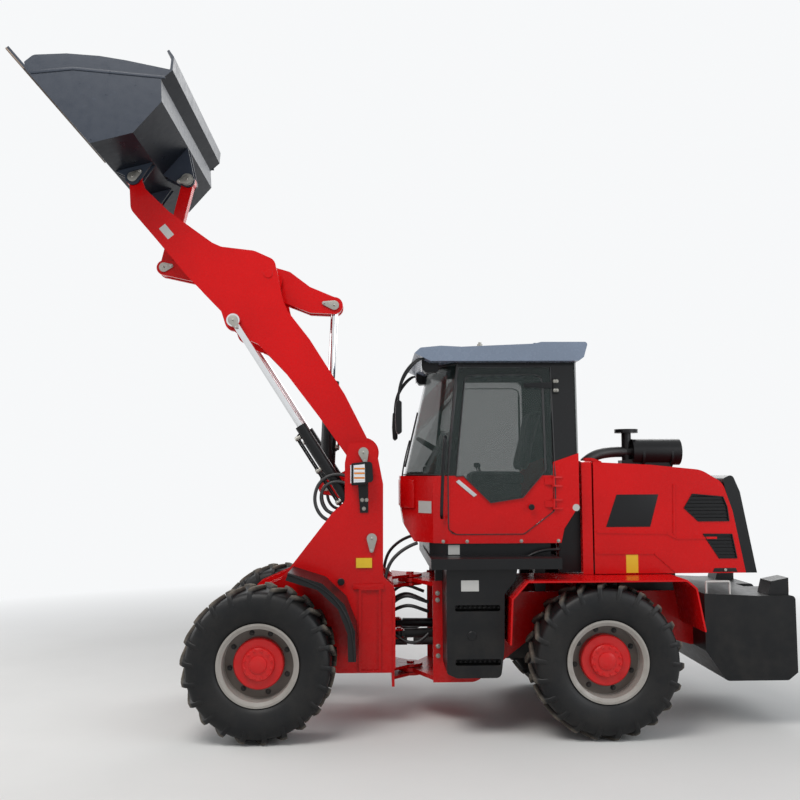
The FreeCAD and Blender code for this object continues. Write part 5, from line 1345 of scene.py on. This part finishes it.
# x and y of the levers' feet
LEVERS = [(-1700, -230), (-1680, -260), (-1700, -290)]
LEVER_KNOB = [(0, 8), (8, 15), (22, 17), (36, 12), (42, 0)]
COLUMN_KNOB = [(0, 8), (6, 13), (18, 13), (24, 0)]
PEDAL = [(-1480, 1395), (-1380, 1470), (-1372, 1460), (-1472, 1385)]


class LOADER_OT_controls(bpy.types.Operator):
    """Furnish the cab with its lever box, levers and pedals"""

    bl_idname = "loader.controls"
    bl_label = "Controls"

    def execute(self, context):
        levers, knobs, pedals = Form(), Form(), Form()
        for x, y in LEVERS:
            levers.hose([(x, y, 1760), (x + 10, y, 1830), (x + 30, y, 1900)], 0.006)
            knobs.turned((x + 30, y, 1896), (0.3, 0, 1), LEVER_KNOB, 16)
        levers.prism("y", -330, -215, box(-1800, -1560, 1376, 1765))
        levers.hose([(-1330, 60, 1980), (-1330, 120, 2000), (-1330, 190, 2040)], 0.006)
        knobs.turned((-1330, 188, 2038), (0, 0.8, 0.5), COLUMN_KNOB, 16)
        pedals.plate(72, 148, PEDAL)
        show("levers", levers, "rear", "trim", chamfer=3)
        show("lever_knobs", knobs, "rear", "seal", smooth=50)
        show("pedals", pedals, "rear", "seal", chamfer=2)
        return {"FINISHED"}


# Hood and tail

VENTS = [
    [(-3107, 1583), (-3170, 1686), (-3400, 1664), (-3428, 1590), (-3440, 1486), (-3209, 1486)],
    [(-3243, 1390), (-3458, 1388), (-3490, 1213), (-3357, 1213)],
]
CREASES = [
    [(-2449, 1410), (-2974, 1399), (-3040, 1362), (-3345, 1362)],
    [(-2446, 1257), (-2877, 1253), (-3031, 1115)],
    [(-3036, 1761), (-3026, 1392)],
]
HOOD_PLATES = [
    # piece, finish, chamfer, near, far, outline
    ("hood_panels", "black", 1, 549, 552, [(-2603, 1685), (-2916, 1685), (-2849, 1446), (-2520, 1446)]),
    ("hood_labels", "label", 0, 549, 551, box(-2753, -2664, 1110, 1242)),
    ("hood_sockets", "black", 1, 549, 553, [(-3492, 1112), (-3308, 1112), (-3320, 1140), (-3480, 1140)]),
]


def slats(outline, pitch, y):
    """Level bars across an outline on each side."""
    rows = []
    height = min(z for _, z in outline) + pitch
    while height < max(z for _, z in outline) - pitch / 2:
        cuts = [
            x0 + (x1 - x0) * (height - z0) / (z1 - z0)
            for (x0, z0), (x1, z1) in zip(outline, outline[1:] + outline[:1])
            if (z0 - height) * (z1 - height) < 0
        ]
        if len(cuts) == 2:
            rows += edging([(min(cuts), height), (max(cuts), height)], y, closed=False)
        height += pitch
    return rows


class LOADER_OT_hood_trim(bpy.types.Operator):
    """Press the hood's creases, slat its vents and fit its locks and blank panels"""

    bl_idname = "loader.hood_trim"
    bl_label = "Hood Trim"

    def execute(self, context):
        sizes = context.scene.loader_sizes
        lines = [row for vent in VENTS for row in slats(vent, sizes.slat_pitch * 1000, 546)]
        bars("vent_slats", "hood", lines, sizes.slat, 0.004, "black", tilt=0.5)
        frames = [row for vent in VENTS for row in edging(vent, 549)]
        bars("vent_frames", "hood", frames, 0.014, 0.006, "black")
        creases = [row for line in CREASES for row in edging(line, 550, closed=False)]
        bars("hood_creases", "hood", creases, 0.012, 0.016, "red")
        plates("hood", HOOD_PLATES)
        locks = Form()
        locks.knob(-3400, 552, 1126, [(0, 11), (8, 11), (10, 8), (10, 0)], 20)
        show("hood_locks", locks, "hood", "zinc", smooth=30)
        return {"FINISHED"}


CLEANER_Z = 1990
DUCT = [(-2830, 0, 2012), (-2760, 0, 2015), (-2650, 20, 2010), (-2540, 45, 1980), (-2480, 60, 1925)]


class LOADER_OT_cleaner_trim(bpy.types.Operator):
    """Clamp the air cleaner and run its duct to the hood"""

    bl_idname = "loader.cleaner_trim"
    bl_label = "Air Cleaner Trim"

    def execute(self, context):
        clamps, duct = Form(), Form()
        for x in (-2950, -3180):
            clamps.turned((x, 0, CLEANER_Z), FORWARD, [(-9, 90), (-9, 108), (9, 108), (9, 90)], 48)
        duct.hose(DUCT, 0.042, 12)
        show("cleaner_clamps", clamps, "hood", "black", smooth=30)
        show("cleaner_duct", duct, "hood", "hose", smooth=50)
        return {"FINISHED"}


# x and z of the counterweight's rail; close points hold its corners
TAIL_RAIL = [
    (-3222, 960), (-3222, 1020), (-3222, 1048), (-3226, 1052), (-3260, 1052), (-3360, 1052), (-3391, 1052),
    (-3395, 1048), (-3395, 1020), (-3395, 960),
]
LOCK_BAR = [(-1337, 412, 668), (-1345, 424, 640), (-1360, 424, 470), (-1369, 412, 423)]
WAIST_BOLTS = [(-1276, 955), (-1276, 905), (-1277, 565), (-1277, 495)]
STEP_STUDS = [
    (x, side * y, z, UP)
    for side in SIDES for z in (902, 528) for x in range(-1680, -1370, 34) for y in range(725, 825, 32)
]
TAIL_PLATES = [
    # piece, finish, chamfer, near, far, outline
    ("lenses_tail", "tail", 3, 505, 550, box(-3846, -3837, 965, 1056)),
    ("lenses_amber", "amber", 3, 560, 605, box(-3846, -3837, 965, 1056)),
    ("lenses_lamp", "lamp", 3, 452, 497, box(-3846, -3837, 965, 1056)),
    ("step_labels", "blank", 0, 829, 832, box(-1540, -1415, 1020, 1096)),
    # Painted shade: a black sheet fills the see-through gap between cab and bulkhead.
    ("gap_shade_sheet", "black", 3, 470, 484, [
        (-2344, 1110), (-2180, 1110), (-2180, 1372), (-2270, 1500), (-2344, 1640),
    ]),
]


class LOADER_OT_tail_trim(bpy.types.Operator):
    """Fit the tail lamps' lenses, the rails, a black sheet of painted shade in the gap behind the cab, and the
    studs of the steps
    """

    bl_idname = "loader.tail_trim"
    bl_label = "Tail and Steps"

    def execute(self, context):
        sizes = context.scene.loader_sizes
        rails, caps, bar = Form(), Form(), Form()
        rails.hoses([(x, 640, z) for x, z in TAIL_RAIL], 0.008, 10)
        show("counterweight_rails", rails, "rear", "blank", smooth=50)
        plates("rear", TAIL_PLATES)
        bolts("step_studs", "rear", STEP_STUDS, sizes.step_stud, "black")
        caps.knob(-1488, 828, 711, [(0, 32), (5, 32), (8, 28), (8, 0)], 28)
        show("step_caps", caps, "rear", "black", smooth=30)
        bolts("hinge_bolts", "rear", side_heads(400, WAIST_BOLTS), sizes.waist_bolt, "zinc")
        bar.hose(LOCK_BAR, 0.014, 10)
        show("lock_bar", bar, "rear", "red", smooth=50)
        return {"FINISHED"}


# Stage and camera

CAMERA_PLACE = (-814.5, 7433.5, 1850)
CAMERA_YAW = 0.0268
CAMERA_PITCH = 0.0789
CAMERA_ROLL = -0.0052
CAMERA_LENS = 41.78
BACKDROP = (0.93, 0.94, 0.95)
FLOOR = (0.72, 0.72, 0.71)
# how far from the loader's middle the floor starts and ends fading into the backdrop
FLOOR_FADE = (4.5, 9.0)

# name, place, size, power, colour; each looks at the loader's middle
LAMPS = [
    ("key", (3.0, 5.5, 10.0), 5.0, 640, (1.0, 0.98, 0.95)),
    ("fill", (-6.5, 5.0, 4.0), 5.0, 190, (0.94, 0.97, 1.0)),
    ("back", (-3.0, -6.5, 6.0), 5.0, 220, (1.0, 1.0, 1.0)),
    ("front", (7.5, -1.0, 4.5), 4.0, 150, (1.0, 1.0, 1.0)),
]
ROOM_LIGHT = 0.36


def place_camera():
    camera = bpy.data.cameras.new("camera")
    camera.lens = CAMERA_LENS
    camera.sensor_width = 36
    camera.clip_end = 100
    seat = bpy.data.objects.new("camera", camera)
    bpy.context.scene.collection.objects.link(seat)
    look = Vector((
        -math.sin(CAMERA_YAW) * math.cos(CAMERA_PITCH),
        -math.cos(CAMERA_YAW) * math.cos(CAMERA_PITCH),
        math.sin(CAMERA_PITCH),
    ))
    side = look.cross(Vector((0, 0, 1))).normalized()
    up = side.cross(look)
    right = side * math.cos(CAMERA_ROLL) + up * math.sin(CAMERA_ROLL)
    top = up * math.cos(CAMERA_ROLL) - side * math.sin(CAMERA_ROLL)
    seat.matrix_world = Matrix.Translation(at(*CAMERA_PLACE)) @ Matrix((right, top, -look)).transposed().to_4x4()
    bpy.context.scene.camera = seat


def hang_lamps():
    for name, place, size, power, tint in LAMPS:
        light = bpy.data.lights.new(name, "AREA")
        light.shape = "SQUARE"
        light.size = size
        light.energy = power
        light.color = tint
        lamp = bpy.data.objects.new(name, light)
        bpy.context.scene.collection.objects.link(lamp)
        lamp.location = place
        lamp.rotation_euler = (Vector((0, 0, 1.6)) - Vector(place)).to_track_quat("-Z", "Y").to_euler()


def light_room():
    """Even light all round, with the plain backdrop where the camera, glass or gloss looks at it."""
    world = bpy.data.worlds.new("studio")
    bpy.context.scene.world = world
    world.use_nodes = True
    tree = world.node_tree
    even = tree.nodes["Background"]
    even.inputs["Color"].default_value = (0.93, 0.96, 1.0, 1)
    even.inputs["Strength"].default_value = ROOM_LIGHT
    seen = tree.nodes.new("ShaderNodeBackground")
    seen.inputs["Color"].default_value = (*BACKDROP, 1)
    path = tree.nodes.new("ShaderNodeLightPath")
    amount = path.outputs["Is Camera Ray"]
    for ray in ("Is Transmission Ray", "Is Glossy Ray"):
        either = tree.nodes.new("ShaderNodeMath")
        either.operation = "MAXIMUM"
        tree.links.new(amount, either.inputs[0])
        tree.links.new(path.outputs[ray], either.inputs[1])
        amount = either.outputs[0]
    blend = tree.nodes.new("ShaderNodeMixShader")
    tree.links.new(amount, blend.inputs[0])
    tree.links.new(even.outputs[0], blend.inputs[1])
    tree.links.new(seen.outputs[0], blend.inputs[2])
    tree.links.new(blend.outputs[0], tree.nodes["World Output"].inputs["Surface"])


def floor_finish():
    """Pale matt floor that turns into the backdrop far off."""
    look = Finish("floor_pale")
    look.colour(look.mix(look.ramp(look.noise(0.8), 0.3, 0.7), FLOOR, darker(FLOOR, 0.96)))
    look.bump(look.noise(60), 0.05, 0.002)
    look.sockets(Roughness=0.85, Specular_IOR_Level=0.2)
    far = look.ramp(look.distance(look.where, "XY"), *FLOOR_FADE)
    glow = look.add("ShaderNodeEmission")
    glow.inputs["Color"].default_value = (*BACKDROP, 1)
    blend = look.add("ShaderNodeMixShader")
    look.link(far, blend.inputs[0])
    look.link(look.shader.outputs[0], blend.inputs[1])
    look.link(glow.outputs[0], blend.inputs[2])
    look.link(blend.outputs[0], look.out.inputs["Surface"])
    return look.material


def lay_floor():
    bm = bmesh.new()
    bmesh.ops.create_grid(bm, x_segments=2, y_segments=2, size=40)
    mesh = bpy.data.meshes.new("floor")
    bm.to_mesh(mesh)
    bm.free()
    floor = bpy.data.objects.new("floor", mesh)
    bpy.context.scene.collection.objects.link(floor)
    mesh.materials.append(floor_finish())


class LOADER_OT_stage(bpy.types.Operator):
    """Lay the pale floor, set the soft lights and place the camera"""

    bl_idname = "loader.stage"
    bl_label = "Stage"

    def execute(self, context):
        context.scene.view_settings.view_transform = "Standard"
        place_camera()
        hang_lamps()
        light_room()
        lay_floor()
        return {"FINISHED"}


OPERATORS = [
    LOADER_OT_finishes,
    LOADER_OT_tyres,
    LOADER_OT_wheel_nuts,
    LOADER_OT_keepers,
    LOADER_OT_front_trim,
    LOADER_OT_headlamps,
    LOADER_OT_pipes,
    LOADER_OT_hoses,
    LOADER_OT_bucket_trim,
    LOADER_OT_cab_seals,
    LOADER_OT_cab_trim,
    LOADER_OT_mirrors,
    LOADER_OT_seat,
    LOADER_OT_controls,
    LOADER_OT_hood_trim,
    LOADER_OT_cleaner_trim,
    LOADER_OT_tail_trim,
    LOADER_OT_stage,
]


class LOADER_PT_panel(bpy.types.Panel):
    bl_label = "Wheel Loader"
    bl_idname = "LOADER_PT_panel"
    bl_space_type = "VIEW_3D"
    bl_region_type = "UI"
    bl_category = "Loader"

    def draw(self, context):
        for group in (context.scene.loader_colours, context.scene.loader_sizes):
            column = self.layout.column()
            for name in group.bl_rna.properties.keys():
                if name not in ("rna_type", "name"):
                    column.prop(group, name)
        for operator in OPERATORS:
            self.layout.operator(operator.bl_idname)


CLASSES = [LoaderColours, LoaderSizes, *OPERATORS, LOADER_PT_panel]


def register():
    for item in CLASSES:
        bpy.utils.register_class(item)
    bpy.types.Scene.loader_colours = bpy.props.PointerProperty(type=LoaderColours)
    bpy.types.Scene.loader_sizes = bpy.props.PointerProperty(type=LoaderSizes)


def unregister():
    del bpy.types.Scene.loader_sizes
    del bpy.types.Scene.loader_colours
    for item in reversed(CLASSES):
        bpy.utils.unregister_class(item)


def main():
    register()
    for operator in OPERATORS:
        family, name = operator.bl_idname.split(".")
        getattr(getattr(bpy.ops, family), name)()


if __name__ == "__main__":
    main()
